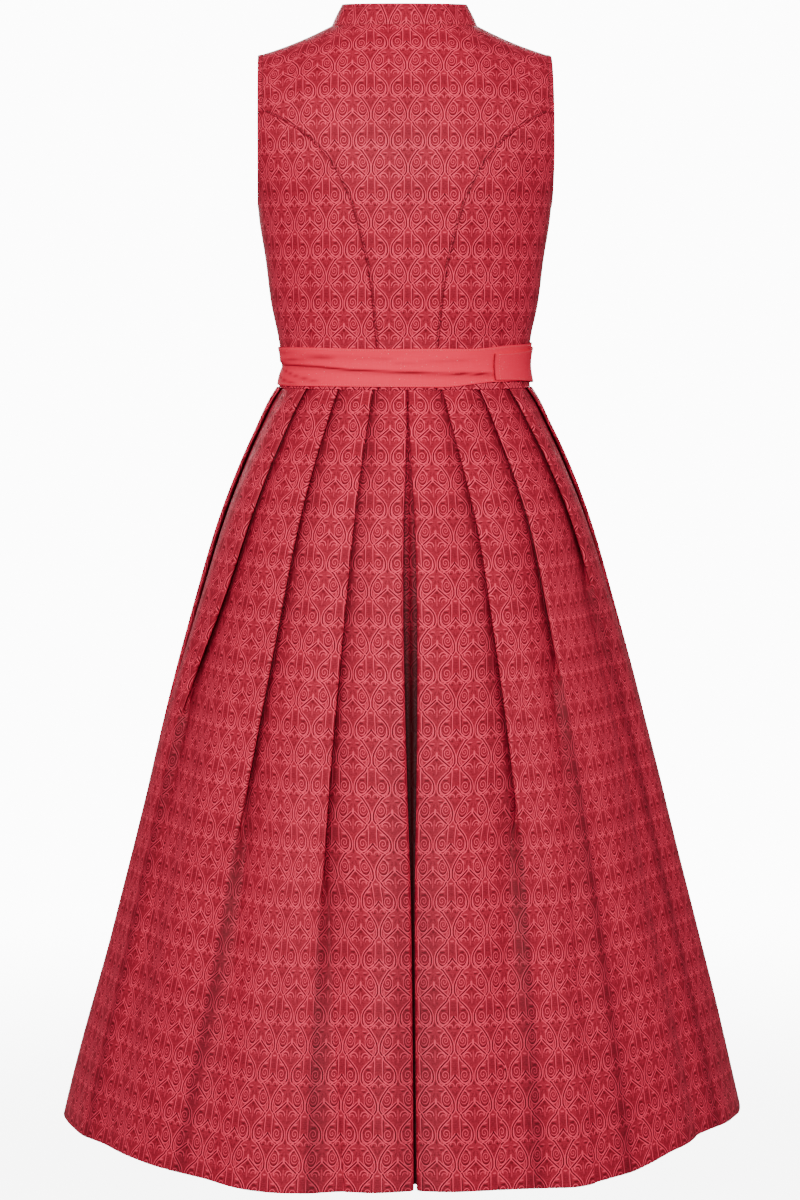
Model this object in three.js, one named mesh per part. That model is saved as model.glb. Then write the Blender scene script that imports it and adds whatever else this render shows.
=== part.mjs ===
// A sleeveless dirndl with a stand collar, a princess-seamed bodice that buttons down the front,
// a knife-pleated skirt with an inverted box pleat at the centre back, and an apron whose
// waistband and tie wrap the waist. It is shown filled out, as it is worn, with nothing inside.
//
// Millimetres, +Z up. The wearer's front faces -Y and the wearer's left is +X. The origin is on
// the body axis at the height of the back neck seam, where the shoulders carry the garment.
//
// Every piece of cloth is one wall: a middle surface, worked out from sections of the body,
// offset half a wall to each side and closed at its edges.

import * as THREE from 'three';

// ---------------------------------------------------------------- driving sizes

const WALL = 1.6; // thickness of each cloth wall
const SEAM_GAP = 0.3; // free space between two pieces that meet at a seam
const LAY_GAP = 0.5; // free space between two pieces that lie on each other

const WAIST_Z = -369; // height of the seam that joins bodice and skirt
const NECK_HALF_WIDTH = 74; // neck seam, from the centre to the side of the neck
const NECK_BACK = 60; // neck seam, from the body axis to the centre back
const NECK_FRONT = 78; // neck seam, from the body axis to the centre front
const NECK_SIDE_Z = 2; // height of the neck seam at the shoulder seam
const NECK_FRONT_Z = -60; // height of the neck seam at the centre front
const SHOULDER_HALF_WIDTH = 151; // armhole edge, from the centre
const SHOULDER_TIP_Z = -29; // height of the shoulder seam at the armhole
const SHOULDER_DIP = 2.5; // how far the shoulder seam sags below a straight line
const UNDERARM_Z = -184; // lowest point of the armhole
const SHOULDER_CURVE_Z = -160; // above this height the torso starts to close over the shoulders
const SHOULDER_FULLNESS = 0.5; // exponent of that closing at the shoulder, smaller is rounder
const NECK_FULLNESS = 0.95; // the same at the centre line
const SHOULDER_LIFT = 1.5; // exponent by which the sections rise to the shoulder seam

const TORSO_SQUARENESS = 2.3; // exponent of the bodice's sections, 2 is an ellipse
const BUST_POINT_X = 84; // fullest place of the bust, from the centre line
const BUST_POINT_Z = -203;
const BUST_RISE = 13; // how far the front stands out there
const BUST_HALF_WIDTH = 52;
const BUST_HALF_HEIGHT = 60;
const BUST_FADE_DEPTH = 40; // the bust's rise fades out over this last depth before the side

const PLACKET_OVERLAP = 12; // the right front passes the centre line by this much
const BUTTON_COUNT = 7;
const BUTTON_TOP_Z = -84;
const BUTTON_PITCH = 36;
const BUTTON_RADIUS = 6.5;
const BUTTON_HEIGHT = 3.4;
const BUTTON_SIDES = 12;
const BUTTON_SEAT = 0.7; // free space between a button's back and the curved front

const COLLAR_HEIGHT = 21; // stand collar, from its seam to its top edge
const COLLAR_LEAN = 11; // how far the top edge leans in towards the neck
const COLLAR_CURVE = 1.2; // exponent of that lean, above 1 the collar starts out upright
const COLLAR_FRONT_GAP = 4; // half the opening between the collar's two front ends
const COLLAR_END_ROUNDING = 7; // how much lower its top edge lies at those ends

const SKIRT_LENGTH = 746; // waist seam to hem at the side
const HEM_DROP_BACK = 0.021; // how much longer the skirt hangs at the centre back
const HEM_DROP_FRONT = 0.008;
const LEFT_FLARE = 0.015; // how much wider the skirt hangs at the hem on the left
const LEFT_FLARE_DROP = 560; // where that starts
const FRONT_DEPTH_SHARE = 0.97; // depth of the skirt's front as a share of its back
const SIDE_SEAM_PLEAT = 5; // the seam of back and front skirt panels hides in this pleat
const LARGEST_OVERLAP = 0.92; // a pleat's hidden fold takes at most this share of its panel

const BAND_TOP_Z = -327.5; // apron band and tie, upper edge
const BAND_BOTTOM_Z = -366.3;
const BAND_END_ARC = 92; // squared end of the waistband, from the centre back to the right
const TIE_START_SHARE = 0.66; // where the tie leaves the waistband, as a share of half the waist
const TIE_END_SHARE = 0.6; // where the tie ends below the waistband on the right

const APRON_START_SHARE = 0.62; // side edge of the apron, as a share of half the girth
const APRON_GATHERS = 17;
const APRON_HEM_ABOVE_SKIRT = 42; // the apron is shorter than the skirt

// ---------------------------------------------------------------- tables of sections

// Bodice sections: height, half width at the side, depth to the back and to the front.
const TORSO_ROWS = [
  { z: WAIST_Z, halfWidth: 129.8, back: 99, front: 97 },
  { z: -345, halfWidth: 126.6, back: 96.5, front: 94 },
  { z: -321, halfWidth: 129.8, back: 99, front: 98 },
  { z: -280, halfWidth: 138, back: 106, front: 107 },
  { z: -238, halfWidth: 143.2, back: 112, front: 119 },
  { z: -197, halfWidth: 149.6, back: 117, front: 124 },
  { z: UNDERARM_Z, halfWidth: 151, back: 118, front: 123 },
  { z: SHOULDER_CURVE_Z, halfWidth: 157, back: 119, front: 119 },
  { z: -125, halfWidth: 166, back: 118, front: 110 },
  { z: -88, halfWidth: 168, back: 113, front: 101 },
  { z: SHOULDER_TIP_Z, halfWidth: 168, back: 104, front: 92 },
];

const PRINCESS_TOP_Z = -88; // where the seams run out into the armholes

// Princess seams: height, and how far from the centre line they run in the back and in the front.
const PRINCESS_ROWS = [
  { z: WAIST_Z, back: 29.5, front: 60 },
  { z: -326, back: 31.5, front: 59 },
  { z: -300, back: 34, front: 62 },
  { z: -273, back: 36.5, front: 68 },
  { z: -246, back: 40.5, front: 76 },
  { z: -219, back: 46.5, front: 83 },
  { z: -192, back: 54, front: 88 },
  { z: -163, back: 65, front: 95 },
  { z: -145, back: 75, front: 103 },
  { z: -128, back: 90, front: 115 },
  { z: -112, back: 109, front: 129 },
  { z: -97, back: 131, front: 144 },
  { z: PRINCESS_TOP_Z, back: 147, front: 151 },
];

// Skirt sections by their drop below the waist seam: half width and depth over the fold edges,
// how far each layer of a pleat lies from the next, the rounding of the panels between the folds,
// half the opening of the centre back pleat, and how deep that pleat's underlay lies.
const SKIRT_ROWS = [
  { drop: 0, halfWidth: 133.4, depth: 102.4, layer: 2.6, rounding: 0, opening: 2.2, recess: 0 },
  { drop: 14, halfWidth: 142.2, depth: 111, layer: 2.8, rounding: 0, opening: 2.5, recess: 0.5 },
  { drop: 34, halfWidth: 152.1, depth: 122, layer: 3.0, rounding: 0.3, opening: 3.0, recess: 1.5 },
  { drop: 76, halfWidth: 170.9, depth: 145, layer: 3.3, rounding: 0.8, opening: 4.6, recess: 4 },
  { drop: 138, halfWidth: 194.4, depth: 173, layer: 3.8, rounding: 1.5, opening: 7.6, recess: 7 },
  { drop: 222, halfWidth: 219.6, depth: 203, layer: 4.3, rounding: 2.5, opening: 8.8, recess: 11 },
  { drop: 305, halfWidth: 243.3, depth: 231, layer: 4.8, rounding: 3.5, opening: 8.2, recess: 14 },
  { drop: 389, halfWidth: 265.0, depth: 257, layer: 5.0, rounding: 4.5, opening: 6.6, recess: 16 },
  { drop: 473, halfWidth: 285.7, depth: 282, layer: 5.2, rounding: 5.5, opening: 4.6, recess: 16 },
  { drop: 556, halfWidth: 306.9, depth: 307, layer: 5.2, rounding: 6.0, opening: 4.0, recess: 15 },
  { drop: 641, halfWidth: 328.7, depth: 334, layer: 5.0, rounding: 6.0, opening: 3.8, recess: 13 },
  { drop: SKIRT_LENGTH, halfWidth: 353.2, depth: 362, layer: 4.6, rounding: 5.5, opening: 3.8, recess: 11 },
];

// What the hem hangs lower than that on either side, by the distance from the centre line as a
// share of half the skirt's width.
const HEM_ROWS = [
  { across: 0, left: 0, right: 0 },
  { across: 0.15, left: 2, right: 1.5 },
  { across: 0.3, left: 8, right: 5 },
  { across: 0.45, left: 10, right: 9 },
  { across: 0.6, left: 8, right: 7 },
  { across: 0.75, left: 6, right: -3 },
  { across: 0.87, left: 7, right: -4 },
  { across: 1, left: 8, right: 0 },
];
const SKIRT_SQUARENESS_WAIST = 2.25;
const SKIRT_SQUARENESS_HEM = 2.0;
const SKIRT_ROUND_DROP = 300; // below this drop the skirt's sections are ellipses

// Fold edges of the pleats, as shares of half the girth from the centre back, at four drops,
// and the drop at which the pleat has opened out into a soft wave.
const LEFT_PLEATS = [
  { waist: 0.1, high: 0.104, middle: 0.107, hem: 0.1, release: 480 },
  { waist: 0.199, high: 0.21, middle: 0.219, hem: 0.232, release: 430 },
  { waist: 0.304, high: 0.333, middle: 0.395, hem: 0.375, release: 330 },
  { waist: 0.45, high: 0.5, middle: 0.53, hem: 0.55, release: 400 },
  { waist: 0.53, high: 0.58, middle: 0.62, hem: 0.64, release: 430 },
  { waist: 0.61, high: 0.66, middle: 0.7, hem: 0.72, release: 430 },
  { waist: 0.7, high: 0.74, middle: 0.77, hem: 0.79, release: 430 },
];
const RIGHT_PLEATS = [
  { waist: 0.103, high: 0.129, middle: 0.135, hem: 0.12, release: 420 },
  { waist: 0.212, high: 0.234, middle: 0.232, hem: 0.215, release: 280 },
  { waist: 0.314, high: 0.358, middle: 0.372, hem: 0.36, release: 200 },
  { waist: 0.42, high: 0.5, middle: 0.53, hem: 0.55, release: 400 },
  { waist: 0.52, high: 0.58, middle: 0.62, hem: 0.64, release: 430 },
  { waist: 0.61, high: 0.66, middle: 0.7, hem: 0.72, release: 430 },
  { waist: 0.7, high: 0.74, middle: 0.77, hem: 0.79, release: 430 },
];
const PLEAT_DROPS = { waist: 0, high: 160, middle: 350, hem: SKIRT_LENGTH };
const PLEAT_FOLD = 37; // how far a pleat's hidden fold reaches at the waist
const PLEAT_CLOSING = 0.85; // exponent by which that fold gets shorter down to its release
const NEAREST_FOLD = 1.3; // the centre back folds come no nearer to the centre line than this
const BOX_PLEAT_DEPTH = 36; // how far the centre back pleat reaches under its panels
const BOX_FOLD_RECESS = { inner: 0.35, edge: 0.12 }; // shares of the recess at the panels' folds
const SOFT_WAVE_WIDTH = 0.13; // width that an opened pleat's slope gains per drop past release
const SOFT_WAVE_LIMIT = 46;
const SOFT_WAVE_REST = 7; // width of the slope just where a pleat opens
const FRONT_STEPS = 4; // columns across the flat front, from the last pleat to the centre
const LEAST_FLAT = 2; // shortest way from a fold edge to a panel's first free point

// ---------------------------------------------------------------- small helpers

const clamp = (value, low, high) => Math.min(high, Math.max(low, value));
const mix = (a, b, share) => a + (b - a) * share;
const smooth = (low, high, value) => THREE.MathUtils.smoothstep(value, low, high);

// Returns a function that reads one column of a table at any place between its rows,
// along a curve that never swings past the rows.
function column(rows, by, key) {
  const sorted = [...rows].sort((a, b) => a[by] - b[by]);
  const at = sorted.map((row) => row[by]);
  const values = sorted.map((row) => row[key]);
  const slopes = [];
  for (let i = 0; i + 1 < at.length; i += 1) {
    slopes.push((values[i + 1] - values[i]) / (at[i + 1] - at[i]));
  }
  const tangents = values.map((_, i) => {
    if (i === 0) return slopes[0];
    if (i === slopes.length) return slopes[i - 1];
    if (slopes[i - 1] * slopes[i] <= 0) return 0;
    return (2 * slopes[i - 1] * slopes[i]) / (slopes[i - 1] + slopes[i]);
  });
  return (place) => {
    const x = clamp(place, at[0], at[at.length - 1]);
    let i = 0;
    while (i + 2 < at.length && x > at[i + 1]) i += 1;
    const span = at[i + 1] - at[i];
    const t = (x - at[i]) / span;
    const t2 = t * t;
    const t3 = t2 * t;
    return (2 * t3 - 3 * t2 + 1) * values[i] + (t3 - 2 * t2 + t) * span * tangents[i]
      + (3 * t2 - 2 * t3) * values[i + 1] + (t3 - t2) * span * tangents[i + 1];
  };
}

// A closed wall over a grid of middle points and unit normals (both as rows of columns).
function wallGeometry(points, normals, thickness) {
  const rowCount = points.length;
  const colCount = points[0].length;
  const positions = [];
  const indices = [];
  for (const side of [0.5, -0.5]) {
    for (let r = 0; r < rowCount; r += 1) {
      for (let c = 0; c < colCount; c += 1) {
        const p = points[r][c];
        const n = normals[r][c];
        positions.push(p.x + n.x * thickness * side);
        positions.push(p.y + n.y * thickness * side);
        positions.push(p.z + n.z * thickness * side);
      }
    }
  }
  const lastRow = rowCount - 1;
  const lastCol = colCount - 1;
  const outer = (r, c) => r * colCount + c;
  const inner = (r, c) => rowCount * colCount + r * colCount + c;
  const quad = (a, b, c, d) => indices.push(a, b, c, a, c, d);
  for (let r = 0; r < lastRow; r += 1) {
    for (let c = 0; c < lastCol; c += 1) {
      quad(outer(r, c), outer(r, c + 1), outer(r + 1, c + 1), outer(r + 1, c));
      quad(inner(r, c + 1), inner(r, c), inner(r + 1, c), inner(r + 1, c + 1));
    }
    quad(outer(r, 0), outer(r + 1, 0), inner(r + 1, 0), inner(r, 0));
    quad(outer(r + 1, lastCol), outer(r, lastCol), inner(r, lastCol), inner(r + 1, lastCol));
  }
  for (let c = 0; c < lastCol; c += 1) {
    quad(outer(0, c + 1), outer(0, c), inner(0, c), inner(0, c + 1));
    quad(outer(lastRow, c), outer(lastRow, c + 1), inner(lastRow, c + 1), inner(lastRow, c));
  }
  const geometry = new THREE.BufferGeometry();
  geometry.setAttribute('position', new THREE.Float32BufferAttribute(positions, 3));
  geometry.setIndex(indices);
  if (signedVolume(geometry) < 0) {
    for (let i = 0; i < indices.length; i += 3) {
      [indices[i], indices[i + 1]] = [indices[i + 1], indices[i]];
    }
    geometry.setIndex(indices);
  }
  geometry.computeVertexNormals();
  return geometry;
}

function signedVolume(geometry) {
  const position = geometry.getAttribute('position');
  const index = geometry.getIndex();
  const a = new THREE.Vector3();
  const b = new THREE.Vector3();
  const c = new THREE.Vector3();
  let volume = 0;
  for (let i = 0; i < index.count; i += 3) {
    a.fromBufferAttribute(position, index.getX(i));
    b.fromBufferAttribute(position, index.getX(i + 1));
    c.fromBufferAttribute(position, index.getX(i + 2));
    volume += a.dot(b.cross(c)) / 6;
  }
  return volume;
}

// ---------------------------------------------------------------- bodice surface

const torsoHalfWidth = column(TORSO_ROWS, 'z', 'halfWidth');
const torsoBack = column(TORSO_ROWS, 'z', 'back');
const torsoFront = column(TORSO_ROWS, 'z', 'front');
const princess = {
  back: column(PRINCESS_ROWS, 'z', 'back'),
  front: column(PRINCESS_ROWS, 'z', 'front'),
};

// Height of the neck seam and of the shoulder seam above a distance x from the centre line.
function upperEdgeHeight(face, x) {
  const away = Math.abs(x);
  if (away >= NECK_HALF_WIDTH) {
    const share = (away - NECK_HALF_WIDTH) / (SHOULDER_HALF_WIDTH - NECK_HALF_WIDTH);
    return mix(NECK_SIDE_Z, SHOULDER_TIP_Z, share) - SHOULDER_DIP * 4 * share * (1 - share);
  }
  const reach = Math.sqrt(1 - (away / NECK_HALF_WIDTH) ** 2);
  return face === 'back' ? mix(NECK_SIDE_Z, 0, reach) : mix(NECK_SIDE_Z, NECK_FRONT_Z, reach);
}

// Distance of that seam from the body axis, towards the back or the front.
function upperEdgeDepth(face, x) {
  const away = Math.abs(x);
  if (away >= NECK_HALF_WIDTH) return SEAM_GAP / 2;
  const reach = Math.sqrt(1 - (away / NECK_HALF_WIDTH) ** 2);
  return SEAM_GAP / 2 + (face === 'back' ? NECK_BACK : NECK_FRONT) * reach;
}

// Where a section meets the distance x from the centre line, as its angle from the centre line.
function sectionAngle(level, x) {
  const share = clamp(Math.abs(x) / torsoHalfWidth(level), 0, 1);
  return Math.asin(share ** (TORSO_SQUARENESS / 2)) * Math.sign(x);
}

// A point of the bodice. face is back or front, angle runs from the centre line (0) to the
// side (a quarter turn), and level is the section's height before the shoulders close over it.
function torsoPoint(face, angle, level) {
  const power = 2 / TORSO_SQUARENESS;
  const sine = Math.sin(angle);
  const x = torsoHalfWidth(level) * Math.sign(sine) * Math.abs(sine) ** power;
  const depth = face === 'back' ? torsoBack(level) : torsoFront(level);
  let y = depth * Math.max(0, Math.cos(angle)) ** power;
  if (face === 'front') {
    const across = (Math.abs(x) - BUST_POINT_X) / BUST_HALF_WIDTH;
    const along = (level - BUST_POINT_Z) / BUST_HALF_HEIGHT;
    y += BUST_RISE * Math.exp(-across * across - along * along) * smooth(0, BUST_FADE_DEPTH, y);
  }
  let z = level;
  if (level > SHOULDER_CURVE_Z) {
    const rise = (level - SHOULDER_CURVE_Z) / (SHOULDER_TIP_Z - SHOULDER_CURVE_Z);
    const nearNeck = clamp(1 - Math.abs(x) / NECK_HALF_WIDTH, 0, 1);
    const edge = upperEdgeDepth(face, x);
    const hollow = mix(SHOULDER_FULLNESS, NECK_FULLNESS, Math.sqrt(nearNeck));
    const fullness = (1 - Math.min(1, rise) ** 3) ** hollow;
    y = edge + (y - edge) * fullness;
    z = level + rise ** SHOULDER_LIFT * (upperEdgeHeight(face, x) - SHOULDER_TIP_Z);
  }
  return new THREE.Vector3(x, face === 'back' ? y : -y, z);
}

// The outward normal of the bodice at such a point.
function torsoNormal(face, angle, level) {
  const point = torsoPoint(face, angle, level);
  if (level > SHOULDER_TIP_Z - 0.5 && Math.abs(point.x) > NECK_HALF_WIDTH - 0.5) {
    const fall = (NECK_SIDE_Z - SHOULDER_TIP_Z) / (SHOULDER_HALF_WIDTH - NECK_HALF_WIDTH);
    return new THREE.Vector3(fall * Math.sign(point.x), 0, 1).normalize();
  }
  const turn = 0.01;
  const lift = 0.5;
  const top = Math.min(level + lift, SHOULDER_TIP_Z);
  const across = torsoPoint(face, angle + turn, level).sub(torsoPoint(face, angle - turn, level));
  const along = torsoPoint(face, angle, top).sub(torsoPoint(face, angle, top - 2 * lift));
  const normal = across.cross(along).normalize();
  const outward = new THREE.Vector3(point.x, point.y, 0);
  return normal.dot(outward) < 0 ? normal.negate() : normal;
}

// Half the free space at a panel's edge, as a distance across the panel.
const HALF_GAP = SEAM_GAP / 2;

// The outer edge of a centre panel: its princess seam, and above that the armhole.
function centrePanelEdge(face, level) {
  if (level < PRINCESS_TOP_Z) return princess[face](level) - HALF_GAP;
  return SHOULDER_HALF_WIDTH;
}

const SIDE_LEVELS = [
  WAIST_Z, -357, -345, BAND_TOP_Z, -300, -262, -224, -200,
  UNDERARM_Z, -174, -155, -136, -118, -102, -89.5,
];
const YOKE_LEVELS = [PRINCESS_TOP_Z, -66, -48, -37, -31, SHOULDER_TIP_Z];
const CENTRE_LEVELS = [...SIDE_LEVELS, ...YOKE_LEVELS];
const NECK_SHARE = 0.49; // share of a centre panel's width that ends at the neck seam
const NECK_COLUMNS = [0, 0.22, 0.44, 0.64, 0.8, 0.92, 1];
const SHOULDER_COLUMNS = [0.66, 0.84, 1];
const CENTRE_COLUMNS = [...NECK_COLUMNS.map((share) => share * NECK_SHARE), ...SHOULDER_COLUMNS];
const SIDE_COLUMNS = [0, 0.25, 0.5, 0.75, 1];

// A grid of points and normals over one panel, from a function that gives the angle of each
// column at each level.
function panelGrid(face, levels, columns, angleAt) {
  const points = [];
  const normals = [];
  for (const level of levels) {
    const angles = columns.map((share) => angleAt(share, level));
    points.push(angles.map((angle) => torsoPoint(face, angle, level)));
    normals.push(angles.map((angle) => torsoNormal(face, angle, level)));
  }
  return { points, normals };
}

// The back panel between the two princess seams, up to both shoulders and the neck.
function backCentrePanel() {
  const mirrored = CENTRE_COLUMNS.slice(1).reverse().map((share) => -share);
  const columns = [...mirrored, ...CENTRE_COLUMNS];
  return panelGrid('back', CENTRE_LEVELS, columns,
    (share, level) => sectionAngle(level, share * centrePanelEdge('back', level)));
}

// The front edge of a front panel: the right front laps past the centre line.
function frontEdge(side) {
  return PLACKET_OVERLAP + side * HALF_GAP;
}

// A front panel from the front edge to the princess seam, up to the shoulder and the neck.
function frontCentrePanel(side) {
  const edge = frontEdge(side);
  return panelGrid('front', CENTRE_LEVELS, CENTRE_COLUMNS, (share, level) => {
    const outer = side * centrePanelEdge('front', level);
    const neckX = outer * NECK_HALF_WIDTH / SHOULDER_HALF_WIDTH;
    const x = share <= NECK_SHARE
      ? mix(edge, neckX, share / NECK_SHARE)
      : mix(neckX, outer, (share - NECK_SHARE) / (1 - NECK_SHARE));
    return sectionAngle(level, x);
  });
}

// A side panel from the princess seam to the side seam, and above the underarm to the armhole.
function sidePanel(face, side) {
  return panelGrid(face, SIDE_LEVELS, SIDE_COLUMNS, (share, level) => {
    const inner = sectionAngle(level, princess[face](level) + HALF_GAP);
    const sideSeam = Math.PI / 2 - HALF_GAP / torsoBack(level);
    const outer = level > UNDERARM_Z
      ? Math.min(sideSeam, sectionAngle(level, SHOULDER_HALF_WIDTH))
      : sideSeam;
    return side * mix(inner, outer, share);
  });
}

// ---------------------------------------------------------------- collar and buttons

const COLLAR_RISES = [0, 0.5, 0.85, 1];

// A point of the neck seam.
function neckPoint(face, x) {
  const depth = upperEdgeDepth(face, x);
  return new THREE.Vector3(x, face === 'back' ? depth : -depth, upperEdgeHeight(face, x));
}

// The neck seam as the bodice panels have it, from the left front edge round the back to the
// right front edge, cut off at the collar's opening.
function neckLine() {
  const half = (side) => {
    const sideX = side * NECK_HALF_WIDTH;
    const front = NECK_COLUMNS.map((share) => neckPoint('front', mix(frontEdge(side), sideX, share)));
    const back = NECK_COLUMNS.map((share) => neckPoint('back', side * share * NECK_HALF_WIDTH));
    return { front, back };
  };
  const left = half(1);
  const right = half(-1);
  const onRightFront = (x) => {
    const [a, b] = right.front;
    return a.clone().lerp(b, (x - a.x) / (b.x - a.x));
  };
  return [
    onRightFront(COLLAR_FRONT_GAP),
    ...left.front,
    ...left.back.slice(0, -1).reverse(),
    ...right.back.slice(1, -1),
    ...right.front.slice(1).reverse(),
    onRightFront(-COLLAR_FRONT_GAP),
  ];
}

// The stand collar follows the neck seam from one front edge to the other and leans inwards.
function collarGrid() {
  const line = neckLine();
  const points = [];
  const normals = [];
  for (const rise of COLLAR_RISES) {
    const lean = COLLAR_LEAN * rise ** COLLAR_CURVE;
    const pointRow = [];
    const normalRow = [];
    line.forEach((seam, i) => {
      const depth = seam.y > 0 ? NECK_BACK : NECK_FRONT;
      const wide = seam.x * depth / NECK_HALF_WIDTH;
      const deep = seam.y * NECK_HALF_WIDTH / depth;
      const out = new THREE.Vector3(wide, deep, 0).normalize();
      const fromEnd = Math.min(i, line.length - 1 - i);
      const rounding = fromEnd === 0 ? COLLAR_END_ROUNDING * rise : 0;
      const base = seam.z + WALL / 2 + SEAM_GAP;
      pointRow.push(new THREE.Vector3(
        seam.x - out.x * lean,
        seam.y - out.y * lean,
        base + COLLAR_HEIGHT * rise - rounding,
      ));
      normalRow.push(out.clone().setZ(rise * COLLAR_LEAN / COLLAR_HEIGHT).normalize());
    });
    points.push(pointRow);
    normals.push(normalRow);
  }
  return { points, normals };
}

// A round domed button, with its flat back towards -Z of its own frame turned onto the front.
function buttonGeometry() {
  const profile = [
    new THREE.Vector2(0, 0),
    new THREE.Vector2(BUTTON_RADIUS * 0.8, 0),
    new THREE.Vector2(BUTTON_RADIUS, BUTTON_HEIGHT * 0.35),
    new THREE.Vector2(BUTTON_RADIUS * 0.86, BUTTON_HEIGHT * 0.75),
    new THREE.Vector2(BUTTON_RADIUS * 0.5, BUTTON_HEIGHT),
    new THREE.Vector2(0, BUTTON_HEIGHT),
  ];
  return new THREE.LatheGeometry(profile, BUTTON_SIDES);
}

// Puts a button on the centre line of the front, square to the cloth there.
function placeButton(mesh, z) {
  const point = torsoPoint('front', 0, z);
  const below = torsoPoint('front', 0, z - BUTTON_RADIUS);
  const above = torsoPoint('front', 0, z + BUTTON_RADIUS);
  const slope = above.clone().sub(below).normalize();
  const outward = new THREE.Vector3(0, -slope.z, slope.y);
  mesh.position.copy(point).addScaledVector(outward, WALL / 2 + BUTTON_SEAT);
  mesh.quaternion.setFromUnitVectors(new THREE.Vector3(0, 1, 0), outward);
}

// ---------------------------------------------------------------- skirt sections

const skirt = {};
for (const key of ['halfWidth', 'depth', 'layer', 'rounding', 'opening', 'recess']) {
  skirt[key] = column(SKIRT_ROWS, 'drop', key);
}

// Half of a closed section, from the centre back to the centre front, read by arc length.
function halfSection(halfWidth, back, front, squareness) {
  const steps = 240;
  const reach = 2.5;
  const power = 2 / squareness;
  const points = [];
  for (let i = 0; i <= steps; i += 1) {
    const angle = Math.PI * i / steps;
    const cosine = Math.cos(angle);
    const depth = cosine > 0 ? back : front;
    const y = depth * Math.sign(cosine) * Math.abs(cosine) ** power;
    points.push(new THREE.Vector2(halfWidth * Math.max(0, Math.sin(angle)) ** power, y));
  }
  const arc = [0];
  for (let i = 1; i <= steps; i += 1) {
    arc.push(arc[i - 1] + points[i].distanceTo(points[i - 1]));
  }
  const length = arc[steps];
  const locate = (s) => {
    let low = 0;
    let high = steps;
    while (high - low > 1) {
      const half = (low + high) >> 1;
      if (arc[half] <= s) low = half;
      else high = half;
    }
    const share = (s - arc[low]) / (arc[high] - arc[low]);
    return points[low].clone().lerp(points[high], share);
  };
  const at = (s) => {
    const mirrored = s < 0 || s > length;
    const place = s < 0 ? -s : (s > length ? 2 * length - s : s);
    const point = locate(place);
    const ahead = locate(Math.min(length, place + reach));
    const behind = locate(Math.max(0, place - reach));
    if (place + reach > length) ahead.x = -locate(2 * length - place - reach).x;
    if (place - reach < 0) behind.x = -locate(reach - place).x;
    const tangent = ahead.sub(behind).normalize();
    const normal = new THREE.Vector2(-tangent.y, tangent.x);
    if (mirrored) {
      point.x = -point.x;
      normal.x = -normal.x;
    }
    return { point, normal };
  };
  return { length, at };
}

// The skirt's section at a drop below the waist seam, moved in from the fold edges.
function skirtSection(drop, inset) {
  const squareness = mix(SKIRT_SQUARENESS_WAIST, SKIRT_SQUARENESS_HEM, smooth(0, SKIRT_ROUND_DROP, drop));
  const halfWidth = skirt.halfWidth(drop) - inset;
  const depth = skirt.depth(drop) - inset;
  return halfSection(halfWidth, depth, depth * FRONT_DEPTH_SHARE, squareness);
}

const hemSag = {
  left: column(HEM_ROWS, 'across', 'left'),
  right: column(HEM_ROWS, 'across', 'right'),
};

// Which way a skirt point lies from the body axis: 1 is the centre back, -1 the centre front.
function facingOf(drop, point) {
  return clamp(point.y / skirt.depth(drop), -1, 1);
}

// Height of a skirt point: the hem hangs a little lower at the back and the front.
function skirtHeight(drop, point) {
  const facing = facingOf(drop, point);
  const longer = facing > 0 ? HEM_DROP_BACK : HEM_DROP_FRONT;
  return WAIST_Z - SEAM_GAP - drop * (1 + longer * facing * facing);
}

// How much lower a skirt point hangs where the hem sags, which fades out towards the front.
function sag(word, drop, point) {
  const facing = facingOf(drop, point);
  const across = facing > 0 ? point.x / skirt.halfWidth(drop) : 1;
  return hemSag[word](across) * Math.min(1, 1 + facing) * (drop / SKIRT_LENGTH) ** 3;
}

// How much further out a skirt point hangs on the left.
function flare(word, drop, point) {
  if (word === 'right') return 1;
  const towardsHem = smooth(LEFT_FLARE_DROP, SKIRT_LENGTH, drop);
  return 1 + LEFT_FLARE * towardsHem * smooth(-0.3, 0, facingOf(drop, point));
}

const pleatRows = Object.keys(PLEAT_DROPS);

// Share of half the girth at which a pleat's fold edge lies at a drop.
function foldShare(pleat, drop) {
  const rows = pleatRows.map((key) => ({ drop: PLEAT_DROPS[key], share: pleat[key] }));
  return column(rows, 'drop', 'share')(drop);
}

// How far a pleat's hidden fold reaches under its panel. Below its release it is negative and
// gives the width of the soft slope that is left of the fold.
function foldOverlap(pleat, drop, panelWidth) {
  const most = LARGEST_OVERLAP * panelWidth;
  if (drop >= pleat.release) {
    return -Math.min(SOFT_WAVE_LIMIT, (drop - pleat.release) * SOFT_WAVE_WIDTH + 1);
  }
  const left = (1 - drop / pleat.release) ** PLEAT_CLOSING;
  return Math.min(most, PLEAT_FOLD * left);
}

// Points of one fold, from the panel before it to its own fold edge, as the arc length from the
// fold edge and the level above the section. The level only ever rises, so the cloth can't
// cross itself.
function foldPoints(overlap, layer, slope) {
  const crisp = smooth(-3, 4, overlap);
  const bulge = layer / 2;
  const reach = Math.max(overlap, 0.5);
  const folded = [
    { s: 0, level: 0 },
    { s: reach, level: -slope * reach },
    { s: reach + bulge, level: layer / 2 - slope * reach },
    { s: reach, level: layer - slope * reach },
    { s: 0, level: layer },
    { s: -bulge, level: 1.5 * layer },
    { s: 0, level: 2 * layer },
  ];
  const width = Math.max(-overlap, 0) + SOFT_WAVE_REST;
  const waved = folded.map((_, i) => {
    const share = i / (folded.length - 1);
    const rise = share * share * (3 - 2 * share);
    return { s: -width * (1 - share), level: mix(slope * width, 2 * layer, rise) };
  });
  return folded.map((point, i) => ({
    s: mix(waved[i].s, point.s, crisp),
    level: mix(waved[i].level, point.level, crisp),
  }));
}

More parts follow.
